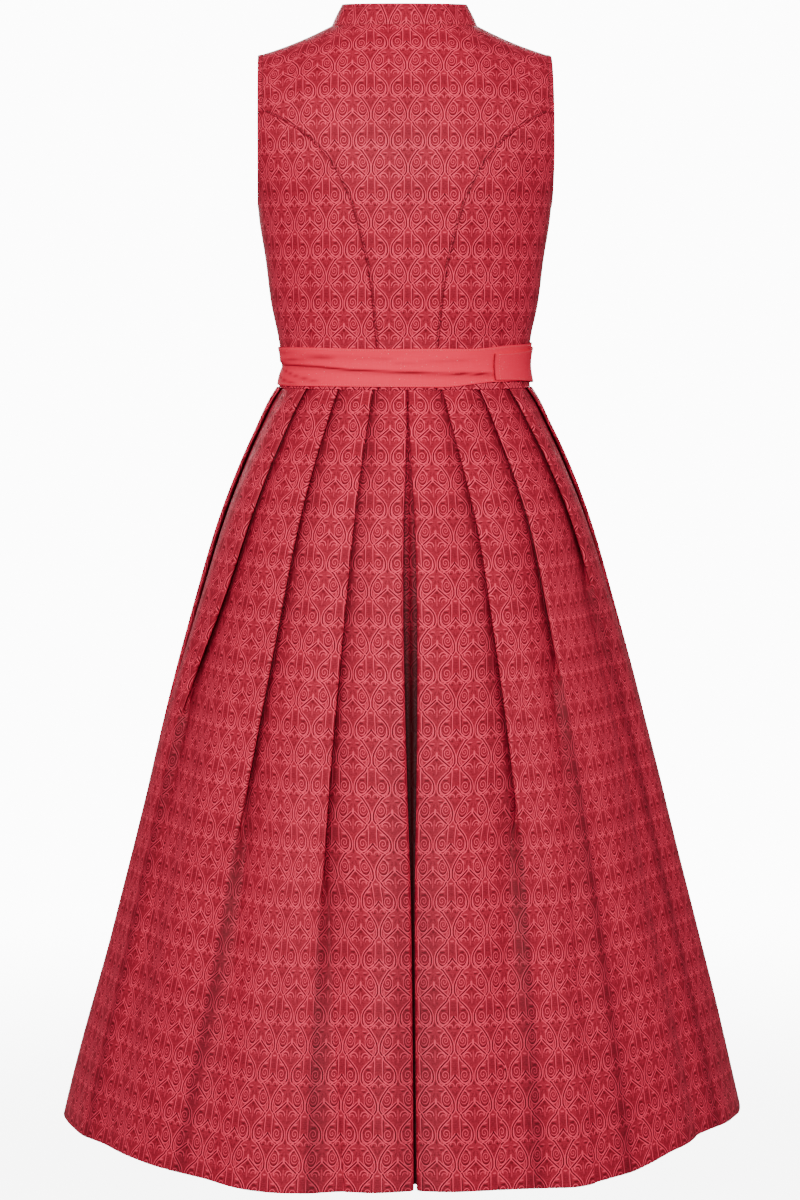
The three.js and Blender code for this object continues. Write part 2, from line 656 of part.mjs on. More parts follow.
// Half of the pleated section at a drop, from the centre back to the centre front. Each point
// has an arc length, a level above the section, and the pleat that it belongs to.
function pleatedHalf(pleats, drop, section) {
  const layer = skirt.layer(drop);
  const opening = skirt.opening(drop);
  const recess = skirt.recess(drop);
  const rounding = skirt.rounding(drop);
  const edges = pleats.map((pleat) => foldShare(pleat, drop) * section.length);
  const starts = [opening, ...edges];
  const result = [];
  const push = (s, level, pleat) => result.push({ s, level, pleat });
  const firstWidth = edges[0] - opening;
  const box = Math.min(BOX_PLEAT_DEPTH, LARGEST_OVERLAP * firstWidth);
  const boxSlope = 2 * layer / firstWidth;
  push(0, -recess, 0);
  push(opening, -recess, 0);
  push(opening + box, -recess - boxSlope * box, 0);
  push(opening + box + layer / 2, layer / 2 - recess - boxSlope * box, 0);
  push(opening + box, layer - recess - boxSlope * box, 0);
  push(opening, layer - recess * BOX_FOLD_RECESS.inner, 0);
  push(Math.max(opening - layer / 2, NEAREST_FOLD), 1.5 * layer - recess * BOX_FOLD_RECESS.edge, 0);
  push(opening, 2 * layer, 0);
  for (let k = 0; k < pleats.length; k += 1) {
    const start = starts[k];
    const end = edges[k];
    const width = end - start;
    const slope = 2 * layer / width;
    const nextWidth = (k + 1 < edges.length ? edges[k + 1] : end + width) - end;
    const under = k === 0 ? box : foldOverlap(pleats[k - 1], drop, width);
    const overlap = foldOverlap(pleats[k], drop, nextWidth);
    const fold = foldPoints(overlap, layer, 2 * layer / nextWidth);
    const near = Math.max(under, LEAST_FLAT);
    const far = width + Math.min(0, fold[0].s);
    push(start + near, 2 * layer - slope * near, k);
    push(start + (near + far) / 2, 2 * layer - slope * (near + far) / 2, k);
    for (const point of fold) push(end + point.s, point.level, k + 1);
  }
  const last = edges[edges.length - 1];
  const rest = section.length - last;
  const lastUnder = Math.max(foldOverlap(pleats[pleats.length - 1], drop, rest), LEAST_FLAT);
  for (let i = 0; i <= FRONT_STEPS; i += 1) {
    const s = mix(last + lastUnder, section.length, i / FRONT_STEPS);
    push(s, 2 * layer, pleats.length);
  }
  for (const point of result) {
    point.level += panelRounding(point.s, [0, ...edges], section.length) * rounding;
  }
  return result;
}

// Soft rounding of the panels between the fold edges, from 0 at the edges to 1 in between.
function panelRounding(s, edges, length) {
  for (let k = 0; k < edges.length; k += 1) {
    const start = edges[k];
    const end = k + 1 < edges.length ? edges[k + 1] : length;
    if (s >= start && s < end && k + 1 < edges.length) {
      const share = (s - start) / (end - start);
      return Math.sin(Math.PI * share ** 0.75) ** 2;
    }
  }
  return 0;
}

const FOLD_LENGTH = 7; // points in one fold
const BOX_POINTS = 8; // points of the centre back pleat
const PANEL_POINTS = 2; // points on a panel between two folds
const SPLIT_GAP = HALF_GAP * 1.2; // half the gap at the side seam, which lies at a slant

// Index, in a pleated half, of the point where a panel passes under the fold edge of a pleat.
function seamIndex(pleatNumber) {
  return BOX_POINTS + pleatNumber * PANEL_POINTS + (pleatNumber - 1) * FOLD_LENGTH;
}

// World points of a pleated half, on the left or on the right.
function worldRow(pleats, word, drop) {
  const section = skirtSection(drop, 2 * skirt.layer(drop) + WALL / 2);
  const side = word === 'left' ? 1 : -1;
  return pleatedHalf(pleats, drop, section).map(({ s, level }) => {
    const { point, normal } = section.at(s);
    const flat = point.clone().addScaledVector(normal, level);
    const x = flat.x * side * flare(word, drop, flat);
    return new THREE.Vector3(x, flat.y, skirtHeight(drop, flat) - sag(word, drop, flat));
  });
}

// Splits a row just under the fold edge of the seam's pleat, with the seam's gap.
function splitRow(row) {
  const i = seamIndex(SIDE_SEAM_PLEAT);
  const a = row[i];
  const b = row[i + 1];
  const middle = a.clone().lerp(b, 0.5);
  const step = b.clone().sub(a).normalize().multiplyScalar(SPLIT_GAP);
  return {
    back: [...row.slice(0, i + 1), middle.clone().sub(step)],
    front: [middle.clone().add(step), ...row.slice(i + 1)],
  };
}

// Normals in the plane of a row, square to its line. They are longer at a corner, so that the
// wall keeps its thickness there, but only up to a limit.
const SHARPEST_CORNER = 0.75;

function rowNormals(row) {
  return row.map((_, i) => {
    const before = row[Math.max(0, i - 1)];
    const after = row[Math.min(row.length - 1, i + 1)];
    const here = row[i];
    const inSide = new THREE.Vector2(here.x - before.x, here.y - before.y);
    const outSide = new THREE.Vector2(after.x - here.x, after.y - here.y);
    if (i === 0) inSide.copy(outSide);
    if (i === row.length - 1) outSide.copy(inSide);
    inSide.normalize();
    outSide.normalize();
    const tangent = inSide.clone().add(outSide).normalize();
    const stretch = 1 / Math.max(SHARPEST_CORNER, tangent.dot(inSide));
    return new THREE.Vector3(tangent.y * stretch, -tangent.x * stretch, 0);
  });
}

const SKIRT_DROPS = [0, 14, 36, 78, 138, 220, 305, 400, 510, 630, SKIRT_LENGTH];

function skirtGrids() {
  const rows = { skirt_back_left: [], skirt_back_right: [], skirt_front_left: [], skirt_front_right: [] };
  for (const drop of SKIRT_DROPS) {
    const left = splitRow(worldRow(LEFT_PLEATS, 'left', drop));
    const right = splitRow(worldRow(RIGHT_PLEATS, 'right', drop));
    left.back[0].x = HALF_GAP;
    right.back[0].x = -HALF_GAP;
    left.front[left.front.length - 1].x = HALF_GAP;
    right.front[right.front.length - 1].x = -HALF_GAP;
    rows.skirt_back_left.push(left.back);
    rows.skirt_back_right.push(right.back);
    rows.skirt_front_left.push(left.front);
    rows.skirt_front_right.push(right.front);
  }
  const grids = {};
  for (const [name, points] of Object.entries(rows)) {
    grids[name] = { points, normals: points.map(rowNormals) };
  }
  return grids;
}

// ---------------------------------------------------------------- apron

// The first row hangs on the band, the second just clears the pleats' tops.
const APRON_HEM_DROP = SKIRT_LENGTH - APRON_HEM_ABOVE_SKIRT;
const APRON_DROPS = [-2.2, 3.5, ...SKIRT_DROPS.slice(1, -1), APRON_HEM_DROP];
const APRON_TOP_LAYER = 1.3; // layers out from the bodice at which the apron's top edge lies
const APRON_CLEARANCE = 1.2; // free space between the apron and the pleats' fold edges
const GATHER_DEPTH_TOP = 2.2;
const GATHER_DEPTH_HEM = 6;
const GATHER_FULL_DROP = 500; // the gathers reach their full depth here

// The apron hangs in gathers from the waistband, outside the skirt's front.
function apronGrid() {
  const points = [];
  const columns = APRON_GATHERS * 2;
  for (const drop of APRON_DROPS) {
    const onBand = drop < 0;
    const section = onBand
      ? bandSection(BAND_BOTTOM_Z, APRON_TOP_LAYER)
      : skirtSection(drop, -skirt.rounding(drop) - APRON_CLEARANCE - WALL / 2);
    const start = APRON_START_SHARE * section.length;
    const end = 2 * section.length - start;
    const depth = onBand ? 0 : mix(GATHER_DEPTH_TOP, GATHER_DEPTH_HEM, smooth(0, GATHER_FULL_DROP, drop));
    const row = [];
    for (let i = 0; i <= columns; i += 1) {
      const s = mix(start, end, i / columns);
      const { point, normal } = section.at(s);
      const wave = depth * (i % 2);
      const flat = point.clone().addScaledVector(normal, wave);
      const z = onBand ? BAND_BOTTOM_Z - SEAM_GAP : skirtHeight(drop, flat);
      row.push(new THREE.Vector3(flat.x, flat.y, z));
    }
    points.push(row);
  }
  return { points, normals: points.map(rowNormals) };
}

// ---------------------------------------------------------------- waistband and tie

// The bodice's section at a height, moved out to the middle of the layer that lies on it.
function bandSection(z, layers) {
  const outset = layers * (WALL + LAY_GAP);
  const halfWidth = torsoHalfWidth(z) + outset;
  return halfSection(halfWidth, torsoBack(z) + outset, torsoFront(z) + outset, TORSO_SQUARENESS);
}

const BAND_HEIGHTS = [BAND_TOP_Z, mix(BAND_TOP_Z, BAND_BOTTOM_Z, 0.45), BAND_BOTTOM_Z];
const TIE_STEPS = 38;
const BAND_STEPS = 40;
// On the right the waistband lies over the tie. Past the tie's end it comes back to the bodice,
// between these two distances, as shares of half the waist.
const BAND_SETTLES = { from: 0.03, to: 0.12 };

// A strip round the waist from one arc length to another. Arc lengths run from the centre back
// to the left, so the right side is negative. layersAt gives how many layers out it lies.
function stripGrid(from, to, steps, layersAt) {
  const points = [];
  for (const height of BAND_HEIGHTS) {
    const row = [];
    for (let i = 0; i <= steps; i += 1) {
      const share = mix(from, to, i / steps);
      const section = bandSection(height, layersAt(share));
      const { point } = section.at(share * section.length);
      row.push(new THREE.Vector3(point.x, point.y, height));
    }
    points.push(row);
  }
  return { points, normals: points.map(rowNormals) };
}

function waistStrips() {
  const half = bandSection(BAND_TOP_Z, 1).length;
  const gap = HALF_GAP / half;
  const tie = stripGrid(TIE_START_SHARE - gap, -TIE_END_SHARE, TIE_STEPS, () => 1);
  // The waistband starts at its squared end on the right of the back, passes the right side and
  // the front, and ends where the tie begins. Shares past -1 lie on the left.
  const layersAt = (share) => {
    if (share <= -1) return 1;
    const { from, to } = BAND_SETTLES;
    return 2 - smooth(TIE_END_SHARE + from, TIE_END_SHARE + to, Math.abs(share));
  };
  const bandStart = -BAND_END_ARC / half;
  const bandEnd = TIE_START_SHARE + gap - 2;
  const band = stripGrid(bandStart, bandEnd, BAND_STEPS, layersAt);
  return { apron_tie: tie, apron_waistband: band };
}

// ---------------------------------------------------------------- the dirndl

const finish = (color, roughness, metalness) => (
  new THREE.MeshStandardMaterial({ color, roughness, metalness })
);
const brocade = () => finish(0xb02a3c, 0.55, 0);
const apronCloth = () => finish(0xe85864, 0.6, 0);
const buttonMetal = () => finish(0xb9b4ab, 0.35, 0.9);

const dirndl = new THREE.Group();

function addWall(name, grid, material) {
  const mesh = new THREE.Mesh(wallGeometry(grid.points, grid.normals, WALL), material);
  mesh.name = name;
  dirndl.add(mesh);
}

addWall('bodice_back_centre', backCentrePanel(), brocade());
for (const [word, side] of [['left', 1], ['right', -1]]) {
  addWall(`bodice_back_side_${word}`, sidePanel('back', side), brocade());
  addWall(`bodice_front_side_${word}`, sidePanel('front', side), brocade());
  addWall(`bodice_front_${word}`, frontCentrePanel(side), brocade());
}
addWall('collar', collarGrid(), brocade());
for (const [name, grid] of Object.entries(skirtGrids())) {
  addWall(name, grid, brocade());
}
addWall('apron_panel', apronGrid(), apronCloth());
for (const [name, grid] of Object.entries(waistStrips())) {
  addWall(name, grid, apronCloth());
}
for (let i = 0; i < BUTTON_COUNT; i += 1) {
  const button = new THREE.Mesh(buttonGeometry(), buttonMetal());
  button.name = `front_button_${i + 1}`;
  placeButton(button, BUTTON_TOP_Z - i * BUTTON_PITCH);
  dirndl.add(button);
}

export default dirndl;
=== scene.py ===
"""A dirndl of red jacquard brocade, filled out as it is worn: fine cloth shells over the
construction model, with woven pattern, seams, stitching, pleats, apron ties and metal buttons.

Shapes are worked out in millimetres, in the construction model's own frame (+Z up, the
wearer's front towards -Y, the wearer's left +X), and turned into metres as each mesh is made.
"""

import math

import bpy
import numpy as np
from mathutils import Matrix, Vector


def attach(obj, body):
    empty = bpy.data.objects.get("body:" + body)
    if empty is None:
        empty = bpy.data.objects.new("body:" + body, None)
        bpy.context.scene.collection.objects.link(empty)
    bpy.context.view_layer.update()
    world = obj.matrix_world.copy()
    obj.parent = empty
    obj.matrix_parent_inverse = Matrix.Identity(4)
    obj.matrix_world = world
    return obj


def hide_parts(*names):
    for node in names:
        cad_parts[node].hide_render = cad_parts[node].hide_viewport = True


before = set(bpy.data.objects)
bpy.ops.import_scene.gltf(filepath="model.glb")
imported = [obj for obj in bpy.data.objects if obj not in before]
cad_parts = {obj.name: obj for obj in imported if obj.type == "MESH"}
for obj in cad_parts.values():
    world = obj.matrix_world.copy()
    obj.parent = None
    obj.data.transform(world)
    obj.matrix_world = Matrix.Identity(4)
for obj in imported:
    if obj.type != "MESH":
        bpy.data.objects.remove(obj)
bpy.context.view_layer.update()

MM = 0.001


# ---------------------------------------------------------------- camera, floor and light

CAMERA_DISTANCE = 4.0
CAMERA_HEIGHT = -0.238
CAMERA_TURN = math.radians(1.6)  # how far the garment is turned away from the camera
AIM = Vector((0.0047, 0.0, -0.5915))
LENS = 115.4
FLOOR_Z = -1.24
FLOOR_RADIUS = 2.2
FLOOR_OPACITY = 0.4
FLOOR_FADE = 0.5  # where the floor starts to fade into the backdrop
AMBIENT = 0.2
BACKDROP = 12.0


def link(obj):
    """Adds an object to the scene."""
    bpy.context.scene.collection.objects.link(obj)
    return obj


def aimed(obj, target):
    """Turns an object so that its -Z axis points at a place."""
    direction = Vector(target) - obj.location
    obj.rotation_euler = direction.to_track_quat("-Z", "Y").to_euler()


def make_camera():
    """A long lens behind the wearer, a little above the middle of the dress."""
    data = bpy.data.cameras.new("camera")
    data.lens = LENS
    data.sensor_width = 36
    data.clip_end = 100
    camera = link(bpy.data.objects.new("camera", data))
    sideways = CAMERA_DISTANCE * math.sin(CAMERA_TURN)
    back = CAMERA_DISTANCE * math.cos(CAMERA_TURN)
    camera.location = (AIM.x + sideways, back, CAMERA_HEIGHT)
    aimed(camera, AIM)
    bpy.context.scene.camera = camera


def area_light(name, place, target, size, power, spread=75):
    """A large soft light that shines within an angle."""
    data = bpy.data.lights.new(name, "AREA")
    data.shape = "DISK"
    data.size = size
    data.energy = power
    data.spread = math.radians(spread)
    light = link(bpy.data.objects.new(name, data))
    light.location = place
    aimed(light, target)


def make_studio():
    """Soft lights behind the wearer, wide on both sides and in front, and a pale backdrop that
    looks brighter to the camera than it shines."""
    yoke = (0, 0, -0.05)
    area_light("behind_camera", (0.4, 4.6, 1.0), (0, 0, -0.3), 1.8, 21, 52)
    area_light("wide_left", (3.6, 2.6, 1.3), yoke, 1.8, 12, 70)
    area_light("wide_right", (-3.7, 2.4, 1.3), yoke, 1.8, 9, 70)
    area_light("front_left", (1.0, -4.3, 0.7), yoke, 1.8, 17)
    area_light("front_right", (-0.9, -4.3, 0.7), yoke, 1.8, 15)
    world = bpy.data.worlds.new("studio")
    world.use_nodes = True
    tree = world.node_tree
    glow = tree.nodes["Background"]
    glow.inputs["Strength"].default_value = AMBIENT
    backdrop = tree.nodes.new("ShaderNodeBackground")
    backdrop.inputs["Strength"].default_value = BACKDROP
    seen = tree.nodes.new("ShaderNodeLightPath")
    blend = tree.nodes.new("ShaderNodeMixShader")
    tree.links.new(seen.outputs["Is Camera Ray"], blend.inputs[0])
    tree.links.new(glow.outputs[0], blend.inputs[1])
    tree.links.new(backdrop.outputs[0], blend.inputs[2])
    tree.links.new(blend.outputs[0], tree.nodes["World Output"].inputs["Surface"])
    for background in (glow, backdrop):
        background.inputs["Color"].default_value = (1.0, 1.0, 1.0, 1)
    bpy.context.scene.world = world


# ---------------------------------------------------------------- shader kit

class Shade:
    """A value inside a material, so that shader maths reads as plain arithmetic."""

    def __init__(self, kit, socket):
        self.kit = kit
        self.socket = socket

    def math(self, operation, *values):
        return self.kit.node("ShaderNodeMath", {"operation": operation}, dict(enumerate(values)))

    def __add__(self, other):
        return self.math("ADD", self, other)

    def __radd__(self, other):
        return self.math("ADD", other, self)

    def __sub__(self, other):
        return self.math("SUBTRACT", self, other)

    def __rsub__(self, other):
        return self.math("SUBTRACT", other, self)

    def __mul__(self, other):
        return self.math("MULTIPLY", self, other)

    def __rmul__(self, other):
        return self.math("MULTIPLY", other, self)

    def __truediv__(self, other):
        return self.math("DIVIDE", self, other)

    def __abs__(self):
        return self.math("ABSOLUTE", self)

    def __pow__(self, other):
        return self.math("POWER", self, other)

    def least(self, other):
        return self.math("MINIMUM", self, other)

    def most(self, other):
        return self.math("MAXIMUM", self, other)

    def wrap(self, period):
        return self.math("WRAP", self, period, 0.0)

    def mirror(self, period):
        return self.math("PINGPONG", self, period)

    def sine(self):
        return self.math("SINE", self)

    def ramp(self, low, high):
        """0 below low, 1 above high and a smooth rise between them; high may be below low."""
        if high < low:
            return 1 - self.ramp(high, low)
        settings = {"interpolation_type": "SMOOTHSTEP"}
        inputs = {"Value": self, "From Min": low, "From Max": high, "To Min": 0.0, "To Max": 1.0}
        return self.kit.node("ShaderNodeMapRange", settings, inputs)

    def line(self, half, soft):
        """1 within a half width of zero, fading to 0 over a soft border."""
        return abs(self).ramp(half + soft, half)


class Kit:
    """Builds the nodes of one material."""

    def __init__(self, name):
        self.material = bpy.data.materials.new(name)
        self.material.use_nodes = True
        self.tree = self.material.node_tree
        self.tree.nodes.clear()

    def node(self, kind, settings=(), inputs=(), output=0):
        """Any node: its settings first, then values or links for its sockets."""
        made = self.tree.nodes.new(kind)
        for key, value in dict(settings).items():
            if key == "curve":
                self.fill_curve(made.mapping, value)
            else:
                setattr(made, key, value)
        for key, value in dict(inputs).items():
            if isinstance(value, Shade):
                self.tree.links.new(value.socket, made.inputs[key])
            else:
                made.inputs[key].default_value = value
        return Shade(self, made.outputs[output])

    def fill_curve(self, mapping, points):
        """Puts the points of a curve node, all between 0 and 1."""
        curve = mapping.curves[0]
        for i, (x, y) in enumerate(points):
            if i < 2:
                curve.points[i].location = (x, y)
            else:
                curve.points.new(x, y)
        for point in curve.points:
            point.handle_type = "AUTO_CLAMPED"
        mapping.update()

    def curve(self, value, points):
        """Reads a curve, given as points from 0 to 1 both ways."""
        return self.node("ShaderNodeFloatCurve", {"curve": points}, {"Factor": 1.0, "Value": value})

    def separate(self, vector):
        made = self.node("ShaderNodeSeparateXYZ", (), {"Vector": vector})
        return [Shade(self, output) for output in made.socket.node.outputs]

    def combine(self, x, y, z):
        return self.node("ShaderNodeCombineXYZ", (), {"X": x, "Y": y, "Z": z})

    def noise(self, vector, scale, detail=2.0, roughness=0.5):
        inputs = {"Vector": vector, "Scale": scale, "Detail": detail, "Roughness": roughness}
        return self.node("ShaderNodeTexNoise", {"noise_dimensions": "3D"}, inputs)

    def mix(self, factor, first, second):
        """Mixes two colours."""
        settings = {"data_type": "RGBA", "blend_type": "MIX"}
        return self.node("ShaderNodeMix", settings, {0: factor, 6: first, 7: second}, 2)

    def bump(self, height, distance, strength=1.0):
        inputs = {"Height": height, "Distance": distance, "Strength": strength}
        return self.node("ShaderNodeBump", (), inputs)

    def object_place(self):
        """Where a point lies in its object, in metres."""
        return self.node("ShaderNodeTexCoord", (), (), 3)

    def attribute(self, name):
        """A value that each vertex carries."""
        return self.node("ShaderNodeAttribute", {"attribute_name": name}, (), 2)

    def finish(self, **sockets):
        """Ends the material with one principled surface."""
        names = {key.replace("_", " ").title().replace("Ior", "IOR"): value
                 for key, value in sockets.items()}
        surface = self.node("ShaderNodeBsdfPrincipled", (), names)
        output = self.tree.nodes.new("ShaderNodeOutputMaterial")
        self.tree.links.new(surface.socket, output.inputs["Surface"])
        return self.material


def srgb(red, green, blue):
    """A colour on the 0 to 255 scale, as Blender's own linear values."""
    def linear(value):
        share = value / 255
        return share / 12.92 if share <= 0.04045 else ((share + 0.055) / 1.055) ** 2.4
    return (linear(red), linear(green), linear(blue), 1)


# ---------------------------------------------------------------- the woven pattern

REPEAT_WIDTH = 37.0  # width of the jacquard's repeat on the cloth, in millimetres
REPEAT_HEIGHT = 54.5
HALF_REPEAT = REPEAT_WIDTH / 2
VINE_OFFSET = 1.15  # the two light lines of a vine, from its dark groove

# The vine that runs down between the large and the small ogees: height in the repeat and
# distance from the axis of the large ones.
VINE = (
    (0.0, 13.3), (2.7, 12.1), (5.8, 8.9), (8.8, 6.0), (11.9, 3.6), (15.0, 2.4), (18.0, 2.0),
    (21.2, 2.1), (23.5, 3.0), (25.8, 5.2), (27.3, 7.6), (28.8, 9.4), (31.9, 11.6), (35.0, 13.7),
    (38.0, 15.3), (41.2, 16.5), (44.2, 17.1), (49.0, 17.1), (51.2, 16.0), (52.9, 14.5),
    (REPEAT_HEIGHT, 13.3),
)
# The arched tops of the ogees: where they start, and how far they reach down and out.
SMALL_TOP = {"start": 16.3, "fall": 11.0, "spread": 10.8, "bend": 1.5}
LARGE_TOP = {"start": 41.3, "fall": 12.4, "spread": 13.4, "bend": 1.1}
# Scrolls that fill the space beside the vine: centre, half width, how far they reach up and
# down, how much narrower they get upwards, and the way they turn.
SCROLLS = (
    {"x": 9.1, "y": 18.0, "wide": 5.3, "up": 60.0, "down": 6.9, "lean": -0.03, "turn": 1,
     "curl": 4.3},
    {"x": 10.2, "y": 40.2, "wide": 4.9, "up": 8.5, "down": 7.2, "lean": 0.0, "turn": -1,
     "curl": 3.9},
)
# Arcs and leaves of the figures: shape, thread, frame, centre, half width, half height, width
# of an arc's line or lean of a leaf, and strength. They are placed from the axis of the large
# or the small ogees; those at the shoulder count their height from where the repeat starts.
FIGURES = (
    ("arc", "light", "shoulder", 5.9, 0.2, 3.7, 3.9, 0.1, 0.9),
    ("arc", "light", "shoulder", 6.7, 1.2, 2.2, 2.3, 0.14, 0.7),
    ("arc", "dark", "shoulder", 6.2, 1.3, 3.0, 3.3, 0.16, 0.55),
    ("arc", "light", "small", 3.2, 27.4, 2.3, 2.7, 0.14, 0.75),
    ("leaf", "dark", "shoulder", 0.0, -8.2, 1.5, 1.5, 0.0, 0.5),
    ("leaf", "dark", "shoulder", 2.0, -1.0, 0.7, 3.2, 0.0, 0.5),
    ("leaf", "dark", "shoulder", 0.0, 5.2, 4.2, 2.6, 0.0, 0.22),
    ("leaf", "light", "shoulder", 0.0, 3.0, 0.6, 2.6, 0.0, 0.45),
    ("leaf", "light", "large", 0.0, 41.2, 1.2, 2.9, 0.0, 0.85),
    ("leaf", "light", "large", 5.9, 35.2, 1.3, 1.6, -0.4, 0.7),
    ("leaf", "dark", "large", 4.8, 32.2, 2.2, 0.7, 0.4, 0.75),
    ("leaf", "light", "large", 4.2, 30.4, 2.3, 0.6, -0.6, 0.7),
    ("leaf", "dark", "large", 0.0, 25.0, 0.9, 1.9, 0.0, 0.6),
    ("leaf", "dark", "large", 1.8, 36.0, 0.8, 2.2, 0.3, 0.4),
    ("leaf", "light", "large", 9.6, 8.6, 2.3, 1.0, -0.8, 0.75),
    ("leaf", "dark", "large", 8.3, 11.4, 3.2, 0.9, 0.6, 0.75),
    ("leaf", "light", "large", 13.6, 48.6, 1.0, 2.4, -0.2, 0.55),
    ("leaf", "light", "large", 4.7, 25.6, 0.9, 1.5, 0.5, 0.5),
    ("leaf", "dark", "small", 4.8, 28.0, 2.0, 1.0, -0.6, 0.7),
    ("leaf", "dark", "small", 0.0, 25.0, 0.8, 2.4, 0.0, 0.5),
    ("leaf", "dark", "small", 1.5, 33.6, 1.1, 2.6, -0.5, 0.4),
    ("leaf", "light", "small", 0.0, 0.8, 2.0, 0.9, 0.0, 0.8),
)
RIB_PITCH = 1.7  # of the ribs across the binding between two vines
VINE_STEPS = 44  # of the vine's curves over one repeat
SLOPE_STEPS = 5  # finer steps in each of them, for its slope


def vine_curves():
    """The vine's distance and its slant along the repeat, both scaled to run from 0 to 1."""
    y = np.array([row[0] for row in VINE])
    x = np.array([row[1] for row in VINE])
    fine = np.linspace(0, REPEAT_HEIGHT, VINE_STEPS + 1)
    place = np.interp(fine, y, x)
    count = VINE_STEPS * SLOPE_STEPS
    finest = np.interp(np.linspace(0, REPEAT_HEIGHT, count + 1), y, x)
    slope = np.gradient(finest, REPEAT_HEIGHT / count)[::SLOPE_STEPS]
    slant = 1 / np.sqrt(1 + slope * slope)
    shares = fine / REPEAT_HEIGHT
    return list(zip(shares, place / HALF_REPEAT)), list(zip(shares, slant))


def double_line(distance):
    """Two light lines with a dark groove between them."""
    light = (abs(distance) - VINE_OFFSET).line(0.3, 0.3)
    groove = distance.line(0.34, 0.34)
    return light, groove


def ogee_top(y, top, from_axis):
    """The arched top of an ogee: its light lines, its groove and the field under it."""
    share = ((y - top["start"]) / top["fall"]).most(0.0)
    place = share ** top["bend"] * top["spread"]
    away = from_axis - place
    slope = share ** (top["bend"] - 1) * (top["bend"] * top["spread"] / top["fall"])
    distance = away / (slope * slope + 1) ** 0.5
    light, groove = double_line(distance)
    shown = share.ramp(0.0, 0.04) * share.ramp(1.03, 0.98)
    return light * shown, groove * shown, away.ramp(0.4, -0.4) * shown


def scroll(x, y, row, beside_vine):
    """A drop-shaped scroll that hangs from the vine, with a curl inside it."""
    below = y - row["y"]
    above = (below * -1.0).most(0.0)
    along = below.most(0.0) / row["down"] + above / row["up"]
    across = (x - row["x"]) / (row["wide"] - above * row["lean"])
    radius = (across * across + along * along) ** 0.5
    shown = beside_vine.ramp(0.9, 1.5) * above.ramp(row["y"] + 0.5, row["y"] - 2.0)
    outline = (radius - 1.0).line(0.045, 0.06) * shown
    shadow = (radius - 0.84).line(0.03, 0.09) * shown
    out = (x - row["x"]) / row["curl"]
    down = (below + 0.8) / (row["curl"] * 1.25)
    reach = (out * out + down * down) ** 0.5
    angle = down.math("ARCTAN2", down, out * row["turn"])
    winding = (reach * 1.75 - angle / (2 * math.pi) + 0.1).wrap(1.0) - 0.5
    inside = reach.ramp(1.06, 0.98)
    curl = winding.line(0.1, 0.13) * inside
    hollow = winding.line(0.34, 0.12) * inside * (1 - curl)
    return outline.most(curl * 0.9), shadow.most(hollow * 0.45)


def arc(x, y, centre_x, centre_y, wide, high, half):
    """The upper part of an oval line."""
    across = (x - centre_x) / wide
    down = (y - centre_y) / high
    radius = (across * across + down * down) ** 0.5
    return (radius - 1.0).line(half, half) * down.ramp(0.35, 0.05)


def leaf(x, y, centre_x, centre_y, half_wide, half_high, lean):
    """A soft leaf-shaped patch that may lean over."""
    down = y - centre_y
    across = (x - centre_x - down * lean) / half_wide
    along = down / half_high
    return (across * across + along * along).ramp(1.25, 0.7)


def jacquard(x, y):
    """The woven pattern at a place on the cloth, in millimetres: its light and dark threads."""
    kit = x.kit
    place, slant = vine_curves()
    large = x.mirror(HALF_REPEAT)
    small = HALF_REPEAT - large
    down = y.wrap(REPEAT_HEIGHT)
    share = down / REPEAT_HEIGHT
    vine = (large - kit.curve(share, place) * HALF_REPEAT) * kit.curve(share, slant)
    light, dark = double_line(vine)
    field = vine.ramp(0.4, -0.4) * down.ramp(19.0, 14.0)
    field = field.most(vine.ramp(-0.4, 0.4) * down.ramp(26.0, 29.0) * down.ramp(46.0, 41.0))
    for top, axis in ((SMALL_TOP, small), (LARGE_TOP, large)):
        line, groove, under = ogee_top(down, top, axis)
        light = light.most(line)
        dark = dark.most(groove)
        field = field.most(under)
    for row, beside in zip(SCROLLS, (vine, vine * -1.0)):
        line, groove = scroll(large, down, row, beside)
        light = light.most(line)
        dark = dark.most(groove)
    turned = (y + REPEAT_HEIGHT / 2).wrap(REPEAT_HEIGHT) - REPEAT_HEIGHT / 2
    stem = large.line(0.0, 0.9) * turned.ramp(-6.5, -4.0) * turned.ramp(2.5, -1.0) * 0.5
    rib = ((down * (2 * math.pi / RIB_PITCH)).sine() * 0.5 + 0.5) * 0.3
    binding = small.ramp(3.2, 1.9) * down.ramp(2.4, 3.6) * down.ramp(13.8, 11.6)
    shapes = {"arc": arc, "leaf": leaf}
    frames = {"shoulder": (large, turned), "large": (large, down), "small": (small, down)}
    threads = {"light": light.most(stem), "dark": dark.most(binding * (0.48 - rib))}
    for shape, thread, base, *sizes, strength in FIGURES:
        figure = shapes[shape](*frames[base], *sizes) * strength
        threads[thread] = threads[thread].most(figure)
    light, dark = threads["light"], threads["dark"]
    dark = dark * (1 - light)
    return light, dark, field


BROCADE_GROUND = srgb(122, 3, 24)
BROCADE_LIGHT = srgb(255, 60, 93)
BROCADE_DARK = srgb(74, 1, 10)
# colour of the painted shade in seams, in the pleats' folds and in the centre back opening
BROCADE_PAINTED_SHADE = srgb(60, 1, 9)
CORAL = srgb(250, 18, 66)
CORAL_LIGHT = srgb(255, 78, 106)
# colour of the painted shade in the tie's folds and round the waistband's end
CORAL_PAINTED_SHADE = srgb(110, 4, 16)


def cloth_place(kit):
    """Where a point lies on its flat cloth, in millimetres across and down."""
    place = kit.node("ShaderNodeUVMap", {"uv_map": "cloth"})
    across, up, _ = kit.separate(place)
    return across * 1000.0, up * -1000.0


